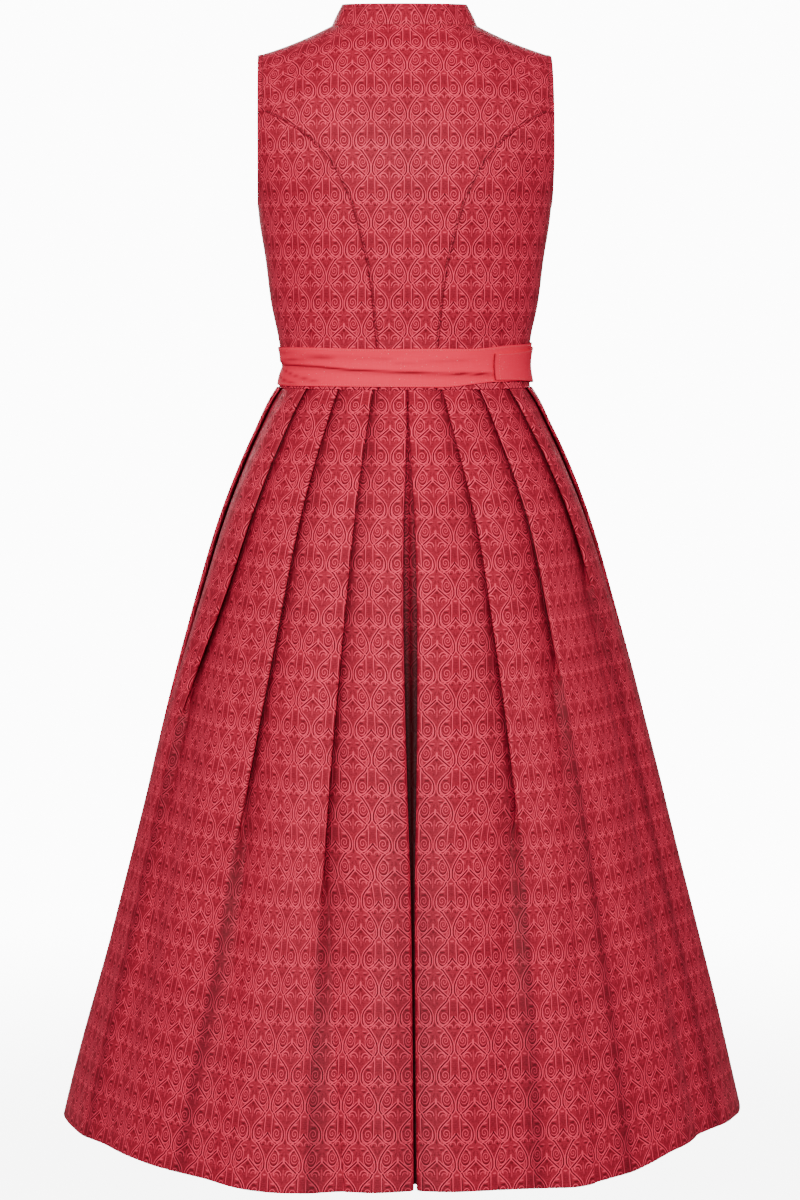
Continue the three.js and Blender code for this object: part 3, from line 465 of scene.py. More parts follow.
def make_brocade():
    """Two-tone jacquard: lustrous light figures on a darker satin ground."""
    kit = Kit("red_brocade")
    x, y = cloth_place(kit)
    light, dark, field = jacquard(x, y)
    # painted shade: the seam_shade attribute darkens the colour in the seams and stitching, beside the
    # pleats' fold edges and valleys and in the centre back opening, where shade falls
    painted_shade = kit.attribute("seam_shade")
    weft = kit.noise(kit.combine(x * 0.9, y * 2.6, 0.0), 1.0, 3.0, 0.7)
    broken = (weft * 1.5 - 0.25).least(1.0).most(0.0)
    cloudy = kit.noise(kit.combine(x * 0.02, y * 0.012, 3.0), 1.0, 2.0)
    speckle = kit.noise(kit.combine(x * 0.55, y * 0.65, 7.0), 1.0, 2.0, 0.6).ramp(0.28, 0.72)
    figure = light * (0.86 + broken * 0.3)
    shade = dark * (0.75 + broken * 0.25)
    even = (y * (4 * math.pi / REPEAT_HEIGHT) + 0.52).sine() * 0.05
    pale = 0.03 + 0.1 * broken + (1 - field) * 0.04 + speckle * 0.24 + even
    ground = kit.mix(pale, BROCADE_GROUND, BROCADE_LIGHT)
    colour = kit.mix(shade, ground, BROCADE_DARK)
    colour = kit.mix(figure.least(1.0), colour, BROCADE_LIGHT)
    # mixes in the painted shade
    colour = kit.mix(painted_shade.least(1.0), colour, BROCADE_PAINTED_SHADE)
    colour = kit.mix(cloudy.ramp(0.35, 0.75) * 0.12, colour, BROCADE_DARK)
    twill = ((x + y) * (2 * math.pi / 0.62)).sine() * 0.5
    thread = (y * (2 * math.pi / 0.4)).sine() * 0.5
    relief = light * 0.16 - dark * 0.08 + twill * 0.01 + thread * 0.008 + weft * 0.06
    normal = kit.bump(relief, 0.0012, 0.8)
    roughness = 0.56 - light * 0.12 + dark * 0.05 + (weft - 0.5) * 0.1
    return kit.finish(base_color=colour, roughness=roughness, normal=normal,
                      specular_ior_level=0.13)


def make_coral_cotton():
    """Plain coral cotton with uneven yarns and a few pale flecks."""
    kit = Kit("coral_cotton")
    x, y = cloth_place(kit)
    warp = (x * (2 * math.pi / 0.55)).sine()
    weft = (y * (2 * math.pi / 0.5)).sine()
    slub = kit.noise(kit.combine(x * 0.05, y * 1.6, 0.0), 1.0, 3.0, 0.6)
    rib = kit.noise(kit.combine(x * 1.4, y * 0.06, 5.0), 1.0, 3.0, 0.6)
    fleck = kit.noise(kit.combine(x * 0.55, y * 0.55, 9.0), 1.0, 1.0).ramp(0.7, 0.78)
    colour = kit.mix((slub * 0.6 + rib * 0.5 - 0.4).ramp(0.0, 0.6) * 0.4, CORAL, CORAL_LIGHT)
    colour = kit.mix(fleck * 0.55, colour, srgb(255, 176, 170))
    # painted shade: the seam_shade attribute darkens the colour just under the tie's folds and round
    # the waistband's squared end, where shade falls
    painted_shade = kit.attribute("seam_shade")
    colour = kit.mix(painted_shade.least(1.0), colour, CORAL_PAINTED_SHADE)
    relief = warp * weft * 0.03 + slub * 0.12 + rib * 0.1
    normal = kit.bump(relief, 0.001, 0.7)
    roughness = 0.66 - slub * 0.12
    return kit.finish(base_color=colour, roughness=roughness, normal=normal,
                      specular_ior_level=0.15)


def make_button_metal():
    """Pewter with tarnish in uneven patches, darker and brighter."""
    kit = Kit("button_pewter")
    place = kit.object_place()
    tarnish = kit.noise(place, 900.0, 4.0, 0.6)
    patches = kit.noise(place, 260.0, 2.0)
    colour = kit.mix(tarnish.ramp(0.35, 0.62), srgb(112, 106, 98), srgb(204, 198, 188))
    normal = kit.bump(tarnish, 0.00012, 0.5)
    roughness = 0.26 + patches * 0.3
    return kit.finish(base_color=colour, metallic=1.0, roughness=roughness, normal=normal)


def make_thread(name, base, pale):
    """Twisted sewing thread."""
    kit = Kit(name)
    place = kit.object_place()
    x, y, z = kit.separate(place)
    twist = ((x + y + z * 0.7) * (2 * math.pi / 0.0006)).sine() * 0.5 + 0.5
    uneven = kit.noise(place, 700.0, 2.0)
    colour = kit.mix(twist * 0.5 + uneven * 0.3, base, pale)
    normal = kit.bump(twist, 0.0001, 0.6)
    return kit.finish(base_color=colour, roughness=0.5 + uneven * 0.2, normal=normal)


def make_floor_paint():
    """Matt pale floor with the faintest unevenness."""
    kit = Kit("pale_floor")
    place = kit.object_place()
    x, y, _ = kit.separate(place)
    uneven = kit.noise(place, 0.8, 2.0)
    colour = kit.mix(uneven * 0.2, (0.92, 0.92, 0.92, 1), (0.95, 0.95, 0.95, 1))
    reach = (x * x + y * y) ** 0.5
    alpha = reach.ramp(FLOOR_RADIUS - 0.2, FLOOR_FADE) * FLOOR_OPACITY
    return kit.finish(base_color=colour, roughness=0.85, specular_ior_level=0.1, alpha=alpha)


# ---------------------------------------------------------------- tables and curves

def table(names, *rows):
    """A table with named columns."""
    return [dict(zip(names.split(), row)) for row in rows]


def column(rows, by, key):
    """Reads one column of a table at any place, along a curve that never swings past its rows."""
    rows = sorted(rows, key=lambda row: row[by])
    at = np.array([row[by] for row in rows], float)
    values = np.array([row[key] for row in rows], float)
    slopes = np.diff(values) / np.diff(at)
    tangents = np.empty_like(values)
    tangents[0], tangents[-1] = slopes[0], slopes[-1]
    product = slopes[:-1] * slopes[1:]
    total = slopes[:-1] + slopes[1:]
    tangents[1:-1] = np.where(product > 0, 2 * product / np.where(total == 0, 1, total), 0)

    def read(place):
        x = np.clip(place, at[0], at[-1])
        i = np.clip(np.searchsorted(at, x, side="right") - 1, 0, len(at) - 2)
        span = at[i + 1] - at[i]
        t = (x - at[i]) / span
        return ((2 * t**3 - 3 * t**2 + 1) * values[i] + (t**3 - 2 * t**2 + t) * span * tangents[i]
                + (3 * t**2 - 2 * t**3) * values[i + 1] + (t**3 - t**2) * span * tangents[i + 1])
    return read


def smooth(low, high, value):
    """0 below low, 1 above high, and a smooth rise between them."""
    share = np.clip((value - low) / (high - low), 0, 1)
    return share * share * (3 - 2 * share)


def mix(a, b, share):
    """A value between two others."""
    return a + (b - a) * share


def running(steps):
    """Lengths along a line from its start, given its steps."""
    return np.concatenate([[0], np.cumsum(steps)])


def lengths_along(line):
    """The same for a row of points."""
    return running(np.linalg.norm(np.diff(line, axis=0), axis=1))


def unit(vectors):
    """Vectors of length one."""
    length = np.linalg.norm(vectors, axis=-1, keepdims=True)
    return vectors / np.maximum(length, 1e-9)


# ---------------------------------------------------------------- sizes of the cut

WALL = 1.4  # thickness of each cloth wall
SEAM_LAP = 0.8  # how far a lower panel runs on under the panel that is stitched over it
LAY_GAP = 0.5
CAD_SEAM_GAP = 0.3
CAD_WALL = 1.6  # the construction model's walls, which set how far pieces lie apart

WAIST_Z = -369.0
NECK_HALF_WIDTH = 74.0
NECK_BACK = 60.0
NECK_FRONT = 78.0
NECK_SIDE_Z = 2.0
NECK_FRONT_Z = -60.0
SHOULDER_HALF_WIDTH = 151.0
SHOULDER_TIP_Z = -29.0
SHOULDER_DIP = 2.5  # how far the shoulder seam sags below a straight line
UNDERARM_Z = -184.0
SHOULDER_CURVE_Z = -160.0
TORSO_SQUARENESS = 2.3
BUST_POINT_X = 84.0
BUST_POINT_Z = -203.0
BUST_RISE = 13.0
BUST_HALF_WIDTH = 52.0
BUST_HALF_HEIGHT = 60.0
BUST_FADE = 40.0  # how far in front of the side seam the bust's rise is whole
SHOULDER_FULLNESS = 0.5  # exponent by which sections round in to the shoulder seam
NECK_FULLNESS = 0.95  # the same at the centre line
SHOULDER_LIFT = 1.5  # exponent by which the sections rise to the shoulder seam
PLACKET_OVERLAP = 12.0

TORSO = table(
    "z half_width back front",
    (-369, 129.8, 99, 97), (-345, 126.6, 96.5, 94), (-321, 129.8, 99, 98),
    (-280, 138, 106, 107), (-238, 143.2, 112, 119), (-197, 149.6, 117, 124),
    (-184, 151, 118, 123), (-160, 157, 119, 119), (-125, 166, 118, 110),
    (-88, 168, 113, 101), (-29, 168, 104, 92),
)
PRINCESS = table(
    "z back front",
    (-369, 29.5, 60), (-326, 31.5, 59), (-300, 34, 62), (-273, 36.5, 68), (-246, 40.5, 76),
    (-219, 46.5, 83), (-192, 54, 88), (-163, 65, 95), (-145, 75, 103), (-128, 90, 115),
    (-112, 109, 129), (-97, 131, 144), (-88, 147, 151),
)
PRINCESS_TOP_Z = -88.0
PRINCESS_END_Z = -88.3  # top of the side panels
HALF_GAP = CAD_SEAM_GAP / 2
BODICE_PATTERN_RISE = 2.1
MAP_EVEN_Z = -60.0  # the flat cloth is measured in even steps up to this level
STRAIGHT_ROWS = 104.0  # beyond this distance from the centre line the pattern's rows run level

torso_half_width = column(TORSO, "z", "half_width")
torso_depth = {"back": column(TORSO, "z", "back"), "front": column(TORSO, "z", "front")}
princess = {"back": column(PRINCESS, "z", "back"), "front": column(PRINCESS, "z", "front")}


# ---------------------------------------------------------------- bodice surface

def neck_reach(x):
    """1 at the centre of the neck opening and 0 at its sides."""
    return np.sqrt(np.clip(1 - (np.abs(x) / NECK_HALF_WIDTH) ** 2, 0, 1))


def upper_edge_height(face, x):
    """Height of the neck seam and of the shoulder seam above a distance from the centre line."""
    away = np.abs(x)
    share = (away - NECK_HALF_WIDTH) / (SHOULDER_HALF_WIDTH - NECK_HALF_WIDTH)
    shoulder = mix(NECK_SIDE_Z, SHOULDER_TIP_Z, share) - SHOULDER_DIP * 4 * share * (1 - share)
    lowest = 0.0 if face == "back" else NECK_FRONT_Z
    return np.where(away >= NECK_HALF_WIDTH, shoulder, mix(NECK_SIDE_Z, lowest, neck_reach(x)))


def upper_edge_depth(face, x):
    """Distance of that seam from the body axis."""
    depth = NECK_BACK if face == "back" else NECK_FRONT
    return HALF_GAP + depth * neck_reach(x)


def section_angle(level, x):
    """Where a section meets the distance x from the centre line, as an angle from that line."""
    share = np.clip(np.abs(x) / torso_half_width(level), 0, 1)
    return np.arcsin(share ** (TORSO_SQUARENESS / 2)) * np.sign(x)


def torso_point(face, angle, level):
    """A point of the bodice, from its angle round the body and the height of its section."""
    angle, level = np.broadcast_arrays(np.asarray(angle, float), np.asarray(level, float))
    power = 2 / TORSO_SQUARENESS
    sine = np.sin(angle)
    x = torso_half_width(level) * np.sign(sine) * np.abs(sine) ** power
    y = torso_depth[face](level) * np.maximum(0, np.cos(angle)) ** power
    if face == "front":
        across = (np.abs(x) - BUST_POINT_X) / BUST_HALF_WIDTH
        along = (level - BUST_POINT_Z) / BUST_HALF_HEIGHT
        y = y + BUST_RISE * np.exp(-across**2 - along**2) * smooth(0, BUST_FADE, y)
    rise = np.clip((level - SHOULDER_CURVE_Z) / (SHOULDER_TIP_Z - SHOULDER_CURVE_Z), 0, 1)
    near_neck = np.clip(1 - np.abs(x) / NECK_HALF_WIDTH, 0, 1)
    edge = upper_edge_depth(face, x)
    exponent = mix(SHOULDER_FULLNESS, NECK_FULLNESS, np.sqrt(near_neck))
    fullness = np.maximum(1 - rise**3, 0) ** exponent
    y = np.where(rise > 0, edge + (y - edge) * fullness, y)
    z = level + rise**SHOULDER_LIFT * (upper_edge_height(face, x) - SHOULDER_TIP_Z)
    return np.stack([x, y if face == "back" else -y, z], -1)


def torso_normal(face, angle, level):
    """The outward normal of the bodice at such a point."""
    turn, lift = 0.01, 0.5
    angle, level = np.broadcast_arrays(np.asarray(angle, float), np.asarray(level, float))
    top = np.minimum(level + lift, SHOULDER_TIP_Z)
    across = torso_point(face, angle + turn, level) - torso_point(face, angle - turn, level)
    along = torso_point(face, angle, top) - torso_point(face, angle, top - 2 * lift)
    normal = unit(np.cross(across, along))
    point = torso_point(face, angle, level)
    outward = normal[..., 0] * point[..., 0] + normal[..., 1] * point[..., 1]
    normal = np.where((outward < 0)[..., None], -normal, normal)
    fall = (NECK_SIDE_Z - SHOULDER_TIP_Z) / (SHOULDER_HALF_WIDTH - NECK_HALF_WIDTH)
    ridge = unit(np.stack([fall * np.sign(point[..., 0]), 0 * level, 1 + 0 * level], -1))
    on_ridge = (level > SHOULDER_TIP_Z - 0.5) & (np.abs(point[..., 0]) > NECK_HALF_WIDTH - 0.5)
    return np.where(on_ridge[..., None], ridge, normal)


def bodice_cloth_map(face):
    """Gives a place on the flat cloth for a bodice point: the arc length round from the centre
    line, and the length up the surface from the waist."""
    near_top = SHOULDER_TIP_Z - (SHOULDER_TIP_Z - MAP_EVEN_Z) * np.linspace(0.98, 0, 60) ** 2
    levels = np.concatenate([np.linspace(WAIST_Z, MAP_EVEN_Z, 160), near_top])
    xs = np.linspace(0, SHOULDER_HALF_WIDTH + 1, 60)
    climbs = []
    for x in xs:
        line = torso_point(face, section_angle(levels, x), levels)
        climbs.append(running(np.hypot(np.diff(line[:, 1]), np.diff(line[:, 2]))))
    climbs = np.array(climbs)
    angles = np.linspace(0, math.pi / 2, 240)

    def place(angle, level, point):
        row = torso_point(face, angles, level[0, 0]) * (1, 1, 0)
        arcs = lengths_along(row)
        u = np.interp(np.abs(angle), angles, arcs) * np.sign(angle)
        at_level = np.array([np.interp(level[0, 0], levels, climb) for climb in climbs])
        v = np.interp(np.minimum(np.abs(point[..., 0]), STRAIGHT_ROWS), xs, at_level)
        return u, v

    def whole(angle, level, point):
        rows = [slice(r, r + 1) for r in range(len(angle))]
        parts = [place(angle[row], level[row], point[row]) for row in rows]
        return tuple(np.concatenate(part) for part in zip(*parts))
    return whole


# ---------------------------------------------------------------- making meshes

PIECES = {}  # outer surface, normals and flat cloth of each cloth piece, by its name
SIDE_WORDS = {1: "left", -1: "right"}
FREE_EDGE_SHARE = 0.45  # thickness that is left at a wall's free edges
FREE_EDGES = {"first_row": np.s_[0], "last_row": np.s_[-1],
              "first_col": np.s_[:, 0], "last_col": np.s_[:, -1]}


def grid_quads(rows, cols, start=0):
    """Faces of a grid of vertices."""
    r, c = np.meshgrid(np.arange(rows - 1), np.arange(cols - 1), indexing="ij")
    a = start + r * cols + c
    return np.stack([a, a + 1, a + cols + 1, a + cols], -1).reshape(-1, 4)


def signed_volume(points, quads):
    """Volume inside closed faces, below zero where they face inwards."""
    a, b, c, d = (points[quads[:, i]] for i in range(4))
    first = np.einsum("ij,ij->i", a, np.cross(b, c))
    second = np.einsum("ij,ij->i", a, np.cross(c, d))
    return (first.sum() + second.sum()) / 6


def shell_quads(rows, cols):
    """Faces of a closed wall: an outer grid, an inner grid and the strips along its edges."""
    count = rows * cols
    outer = grid_quads(rows, cols)
    inner = grid_quads(rows, cols, count)[:, ::-1]
    top = np.arange(cols)
    bottom = (rows - 1) * cols + np.arange(cols)
    first = np.arange(rows) * cols
    last = first + cols - 1
    strips = [inner, outer]
    for ring, flip in ((top, True), (bottom, False), (first, False), (last, True)):
        quads = np.stack([ring[:-1], ring[1:], ring[1:] + count, ring[:-1] + count], -1)
        strips.append(quads[:, ::-1] if not flip else quads)
    return np.concatenate(strips)


def cloth_mesh(name, points, quads, uv, shade, material):
    """A smooth mesh object with its place on the flat cloth as a UV map."""
    if signed_volume(points, quads) < 0:
        quads = quads[:, ::-1]
    mesh = bpy.data.meshes.new(name)
    mesh.from_pydata((points * MM).tolist(), [], quads.tolist())
    layer = mesh.uv_layers.new(name="cloth")
    corners = np.empty(len(mesh.loops), np.int32)
    mesh.loops.foreach_get("vertex_index", corners)
    layer.data.foreach_set("uv", (uv[corners] * MM).astype(np.float32).ravel())
    # painted shade of each vertex, which the cloth materials mix in as a darker colour
    shading = mesh.attributes.new("seam_shade", "FLOAT", "POINT")
    shading.data.foreach_set("value", np.asarray(shade, np.float32).ravel())
    mesh.materials.append(material)
    mesh.shade_smooth()
    return link(bpy.data.objects.new(name, mesh))


def edge_rounding(rows, cols, sides):
    """Thins a wall at its free edges, so that they read as folded cloth."""
    factor = np.ones((rows, cols))
    for side in sides:
        factor[FREE_EDGES[side]] *= FREE_EDGE_SHARE
    return factor


def wall(name, middle, normals, u, v, material, thickness=WALL, rounded=(), shade=None):
    """A closed wall of cloth over a grid of middle points, in place of the solid of its name."""
    rows, cols = middle.shape[:2]
    half = thickness / 2 * edge_rounding(rows, cols, rounded)
    outer = middle + normals * half[..., None]
    inner = middle - normals * half[..., None]
    points = np.concatenate([outer.reshape(-1, 3), inner.reshape(-1, 3)])
    flat = np.tile(np.stack([u, v], -1).reshape(-1, 2), (2, 1))
    shade = np.zeros((rows, cols)) if shade is None else shade
    both = np.tile(shade.ravel(), 2)
    piece = cloth_mesh(name, points, shell_quads(rows, cols), flat, both, material)
    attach(piece, "root")
    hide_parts(name)
    PIECES[name] = {"piece": piece, "outer": outer, "normals": normals, "u": u, "v": v}


# ---------------------------------------------------------------- bodice panels

SIDE_LEVELS = np.linspace(WAIST_Z, PRINCESS_END_Z, 94)
YOKE_LEVELS = SHOULDER_TIP_Z - (SHOULDER_TIP_Z - PRINCESS_TOP_Z) * np.linspace(1, 0, 27) ** 2
CENTRE_LEVELS = np.concatenate([SIDE_LEVELS, YOKE_LEVELS])

EDGE_STEPS = np.array([10.0, 7.4, 5.8, 5.0, 4.2, 3.3, 2.7, 2.2, 1.7, 1.2, 0.6, 0.0])
EDGE_ZONE = EDGE_STEPS[0]
SEAM_STITCH = 2.2  # the seam's topstitching, from the edge of the centre panel
TURNED_STITCH = 5.0  # the topstitching of an armhole or a front edge


def seam_relief(distance):
    """The raised, topstitched side of a princess seam."""
    ridge = 0.8 * np.exp(-((distance - 1.2) / 0.7) ** 2)
    groove = 0.5 * np.exp(-((distance - SEAM_STITCH) / 0.6) ** 2)
    edge = 0.7 * np.exp(-(distance / 0.5) ** 2)
    return ridge - groove - edge


def under_relief(distance):
    """The lower side of a princess seam."""
    return -0.9 * np.exp(-(distance / 1.5) ** 2)


def seam_shade(distance, stitch):
    """How deep a seam lies in its own shade: at the edge itself and along its stitching."""
    at_edge = np.exp(-(distance / 0.85) ** 2)
    at_stitch = np.exp(-((distance - stitch) / 0.6) ** 2)
    return np.maximum(at_edge, 0.8 * at_stitch)


def turned_relief(distance):
    """A turned and topstitched edge."""
    fold = 0.35 * smooth(TURNED_STITCH + 1.5, 2.5, distance)
    groove = 0.4 * np.exp(-((distance - TURNED_STITCH) / 0.7) ** 2)
    return fold - groove


def centre_edge(face, level):
    """The outer edge of a centre panel: its princess seam, and above that the armhole."""
    seam = princess[face](np.minimum(level, PRINCESS_TOP_Z)) - HALF_GAP
    return np.where(level < PRINCESS_TOP_Z, seam, SHOULDER_HALF_WIDTH)


def seam_stretch(face, level):
    """How much longer a distance across the slanting seam is along the section."""
    low, high = level - 1, np.minimum(level + 1, PRINCESS_TOP_Z)
    slope = (princess[face](high) - princess[face](low)) / (high - low)
    return np.where(level < PRINCESS_TOP_Z, np.sqrt(1 + slope**2), 1)


def centre_columns(face):
    """Distances from the centre line of a centre panel's columns, and from its outer edge."""
    edge = centre_edge(face, CENTRE_LEVELS)[:, None]
    zone = np.minimum(EDGE_ZONE * seam_stretch(face, CENTRE_LEVELS)[:, None], 0.6 * edge)
    plain = (edge - zone) * CENTRE_SHARES[None, :]
    fine = edge - zone * (EDGE_STEPS[1:] / EDGE_ZONE)[None, :]
    x = np.concatenate([plain, fine], 1)
    away = (edge - x) / zone * EDGE_ZONE
    return x, away


NECK_PLACE = NECK_HALF_WIDTH / (SHOULDER_HALF_WIDTH - EDGE_ZONE)
CENTRE_SHARES = np.concatenate([
    np.linspace(0, NECK_PLACE, 22), np.linspace(NECK_PLACE, 1, 19)[1:],
])


def panel_wall(name, face, levels, angle, relief, shade, u_start, brocade):
    """A bodice panel from the angles of its columns on every level."""
    level = np.repeat(levels[:, None], angle.shape[1], 1)
    point = torso_point(face, angle, level)
    normal = torso_normal(face, angle, level)
    u, v = bodice_cloth_map(face)(angle, level, point)
    middle = point + normal * (relief + bodice_softness(face, point))[..., None]
    wall(name, middle, normal, u + u_start, v + BODICE_PATTERN_RISE, brocade,
         rounded=("first_col", "last_col"), shade=shade)


# Soft creases of the worn bodice: which face, centre, direction in degrees above level,
# half length, half width and height, where a trough is negative.
BODICE_CREASES = table(
    "face x z tilt long wide height",
    ("back", 96, -318, 8, 34, 5, -0.9), ("back", -98, -312, -6, 30, 5, -0.8),
    ("back", 70, -300, 14, 26, 4.5, -0.5), ("back", -62, -322, -10, 28, 4.5, -0.6),
    ("back", 12, -318, 3, 22, 4.5, -0.4), ("back", 112, -170, 62, 34, 7, -0.9),
    ("back", -116, -168, -60, 32, 7, -0.9), ("back", 124, -236, 70, 30, 8, 0.7),
    ("back", -122, -244, -72, 32, 8, 0.7), ("front", 108, -296, 16, 30, 5, -0.8),
    ("front", -104, -304, -12, 30, 5, -0.8), ("front", 122, -166, 58, 30, 7, -0.9),
    ("front", -120, -170, -60, 30, 7, -0.9), ("front", 44, -318, -5, 24, 4.5, -0.5),
    ("front", -40, -312, 7, 26, 4.5, -0.5),
)


def bodice_softness(face, point):
    """Displacement of the bodice by its soft creases."""
    moved = np.zeros(point.shape[:-1])
    for row in BODICE_CREASES:
        if row["face"] != face:
            continue
        tilt = math.radians(row["tilt"])
        dx, dz = point[..., 0] - row["x"], point[..., 2] - row["z"]
        along = (dx * math.cos(tilt) + dz * math.sin(tilt)) / row["long"]
        across = (dz * math.cos(tilt) - dx * math.sin(tilt)) / row["wide"]
        moved += row["height"] * np.exp(-along**2 - across**2)
    return moved


def turned_shade(distance):
    """Shade in the stitching of a turned edge."""
    return 0.6 * np.exp(-((distance - TURNED_STITCH) / 0.8) ** 2)


def centre_panel(name, face, x, relief, shade, u_start, brocade):
    """A centre panel from its columns' distances from the centre line."""
    angle = section_angle(CENTRE_LEVELS[:, None], x)
    panel_wall(name, face, CENTRE_LEVELS, angle, relief, shade, u_start, brocade)


def centre_finish(away):
    """Relief and shade of a centre panel: its seam below, its armhole above."""
    on_seam = (CENTRE_LEVELS < PRINCESS_TOP_Z)[:, None]
    relief = np.where(on_seam, seam_relief(away), turned_relief(away))
    return relief, np.where(on_seam, seam_shade(away, SEAM_STITCH), turned_shade(away))


def back_centre_panel(brocade):
    """The back panel between the princess seams, up to both shoulders and the neck."""
    x, away = centre_columns("back")
    x = np.concatenate([-x[:, :0:-1], x], 1)
    away = np.concatenate([away[:, :0:-1], away], 1)
    centre_panel("bodice_back_centre", "back", x, *centre_finish(away), HALF_REPEAT, brocade)


def front_centre_panel(side, brocade):
    """A front panel from the front edge to the princess seam."""
    x, away = centre_columns("front")
    share = x / x[:, -1:]
    edge = PLACKET_OVERLAP + side * HALF_GAP
    outer = side * x[:, -1:]
    neck_x = outer * NECK_HALF_WIDTH / SHOULDER_HALF_WIDTH
    neck_share = NECK_HALF_WIDTH / SHOULDER_HALF_WIDTH
    placed = np.where(share <= neck_share, mix(edge, neck_x, share / neck_share), side * x)
    relief, shade = centre_finish(away)
    if side < 0:
        relief = relief + turned_relief(np.abs(placed - edge))
    name = f"bodice_front_{SIDE_WORDS[side]}"
    centre_panel(name, "front", placed, relief, shade, 0.0, brocade)


SIDE_SHARES = np.linspace(0, 1, 30)[1:-1]


def side_panel(face, side, u_start, brocade):
    """A side panel from the princess seam to the side seam, and higher up to the armhole."""
    levels = SIDE_LEVELS
    inner = section_angle(levels, princess[face](levels) - SEAM_LAP * seam_stretch(face, levels))
    above = levels > UNDERARM_Z
    armhole = section_angle(levels, np.full_like(levels, SHOULDER_HALF_WIDTH))
    outer = np.where(above, np.minimum(math.pi / 2, armhole), math.pi / 2)
    angles = np.linspace(0, math.pi / 2, 400)
    rows, aways, outs = [], [], []
    for level, low, high, is_open in zip(levels, inner, outer, above):
        line = torso_point(face, angles, level) * (1, 1, 0)
        arcs = lengths_along(line)
        start, end = np.interp([low, high], angles, arcs)
        zone = min(EDGE_ZONE, 0.4 * (end - start))
        near = zone * EDGE_STEPS[::-1] / EDGE_ZONE
        plain = mix(start + zone, end - zone, SIDE_SHARES)
        places = np.concatenate([start + near, plain, end - near[::-1]])
        rows.append(np.interp(places, arcs, angles))
        aways.append(np.minimum((places - start) / zone * EDGE_ZONE, 30))
        outs.append((end - places) / zone * EDGE_ZONE)
    angle = np.array(rows) * side
    away, out = np.array(aways), np.array(outs)
    is_armhole = above[:, None]
    edge_relief = np.where(is_armhole, turned_relief(out), -0.35 * np.exp(-(out / 1.2) ** 2))
    edge_shade = np.where(is_armhole, turned_shade(out), 0.7 * np.exp(-(out / 0.8) ** 2))
    relief = under_relief(away) + edge_relief
    shade = np.maximum(0.8 * np.exp(-(away / 1.1) ** 2), edge_shade)
    name = f"bodice_{face}_side_{SIDE_WORDS[side]}"
    panel_wall(name, face, levels, angle, relief, shade, u_start, brocade)


# ---------------------------------------------------------------- collar

COLLAR_HEIGHT = 21.0
COLLAR_LEAN = 11.0
COLLAR_FRONT_GAP = 4.0
COLLAR_END_ROUNDING = 7.0
COLLAR_WALL = 2.0
COLLAR_SEAT = -0.6  # its lower edge tucks into the neck seam
COLLAR_TOP = 22.1
COLLAR_CURVE = 1.2  # exponent of its lean, above 1 the collar starts out upright
COLLAR_PATTERN_RISE = 8
COLLAR_RISES = np.array([
    0, 0.03, 0.08, 0.14, 0.22, 0.34, 0.46, 0.58, 0.7, 0.8, 0.88, 0.94, 0.98, 1.0,
])


def neck_line():
    """The neck seam from the left front edge round the back to the right front edge."""
    def seam(face, turn):
        x = NECK_HALF_WIDTH * np.sin(turn)
        depth = upper_edge_depth(face, x) * (1 if face == "back" else -1)
        return np.stack([x, depth, upper_edge_height(face, x)], -1)

    first = math.asin(COLLAR_FRONT_GAP / NECK_HALF_WIDTH)
    front = seam("front", np.linspace(first, math.pi / 2, 60))
    rear = seam("back", np.linspace(math.pi / 2, -math.pi / 2, 119)[1:-1])
    return np.concatenate([front, rear, (front * (-1, 1, 1))[::-1]])


def collar(brocade):
    """The stand collar, which leans in and has rounded front ends."""
    line = neck_line()
    depth = np.where(line[:, 1] > 0, NECK_BACK, NECK_FRONT)
    out = unit(np.stack([line[:, 0] * depth / NECK_HALF_WIDTH, line[:, 1] * NECK_HALF_WIDTH / depth,
                         0 * depth], -1))
    arc = lengths_along(line)
    from_end = np.minimum(arc, arc[-1] - arc)
    rises = COLLAR_RISES
    rows, normals = [], []
    for rise in rises:
        rounding = COLLAR_END_ROUNDING * rise * np.exp(-(from_end / 5) ** 2)
        lean = COLLAR_LEAN * rise**COLLAR_CURVE
        row = line - out * lean
        row[:, 2] = line[:, 2] + COLLAR_SEAT * (1 - rise) + COLLAR_TOP * rise - rounding
        edge = COLLAR_HEIGHT * (1 - rise)
        ridge = 0.25 * math.exp(-((edge - 1.2) / 1.0) ** 2)
        groove = 0.2 * math.exp(-((edge - 3.6) / 0.7) ** 2)
        row += out * (ridge - groove)
        rows.append(row)
        normals.append(unit(out + np.array([0, 0, rise * COLLAR_LEAN / COLLAR_HEIGHT])))
    middle, normal = np.array(rows), np.array(normals)
    u = np.repeat(arc[None, :] - arc[-1] / 2, len(rises), 0)
    v = np.repeat(COLLAR_HEIGHT * rises[:, None] + COLLAR_PATTERN_RISE, len(arc), 1)
    wall("collar", middle, normal, u, v, brocade, COLLAR_WALL,
         ("last_row", "first_col", "last_col"))


# ---------------------------------------------------------------- sections of skirt and waist

class HalfSection:
    """Half of a closed section, from the centre back to the centre front, read by arc length.
    Negative arc lengths lie on the right side."""

    def __init__(self, half_width, back, front, squareness):
        angle = np.linspace(0, math.pi, 481)
        power = 2 / squareness
        cosine = np.cos(angle)
        depth = np.where(cosine > 0, back, front)
        self.y = depth * np.sign(cosine) * np.abs(cosine) ** power
        self.x = half_width * np.maximum(0, np.sin(angle)) ** power
        self.x[-1] = 0
        self.arc = running(np.hypot(np.diff(self.x), np.diff(self.y)))
        self.length = self.arc[-1]

    def locate(self, s):
        """The point at an arc length, which may run right round."""
        place = np.mod(np.asarray(s, float) + self.length, 2 * self.length) - self.length
        x = np.interp(np.abs(place), self.arc, self.x) * np.where(place < 0, -1, 1)
        return np.stack([x, np.interp(np.abs(place), self.arc, self.y)], -1)

    def at(self, s, reach=2.5):
        """The point and the outward normal at an arc length."""
        tangent = unit(self.locate(s + reach) - self.locate(s - reach))
        normal = np.stack([-tangent[..., 1], tangent[..., 0]], -1)
        return self.locate(s), normal


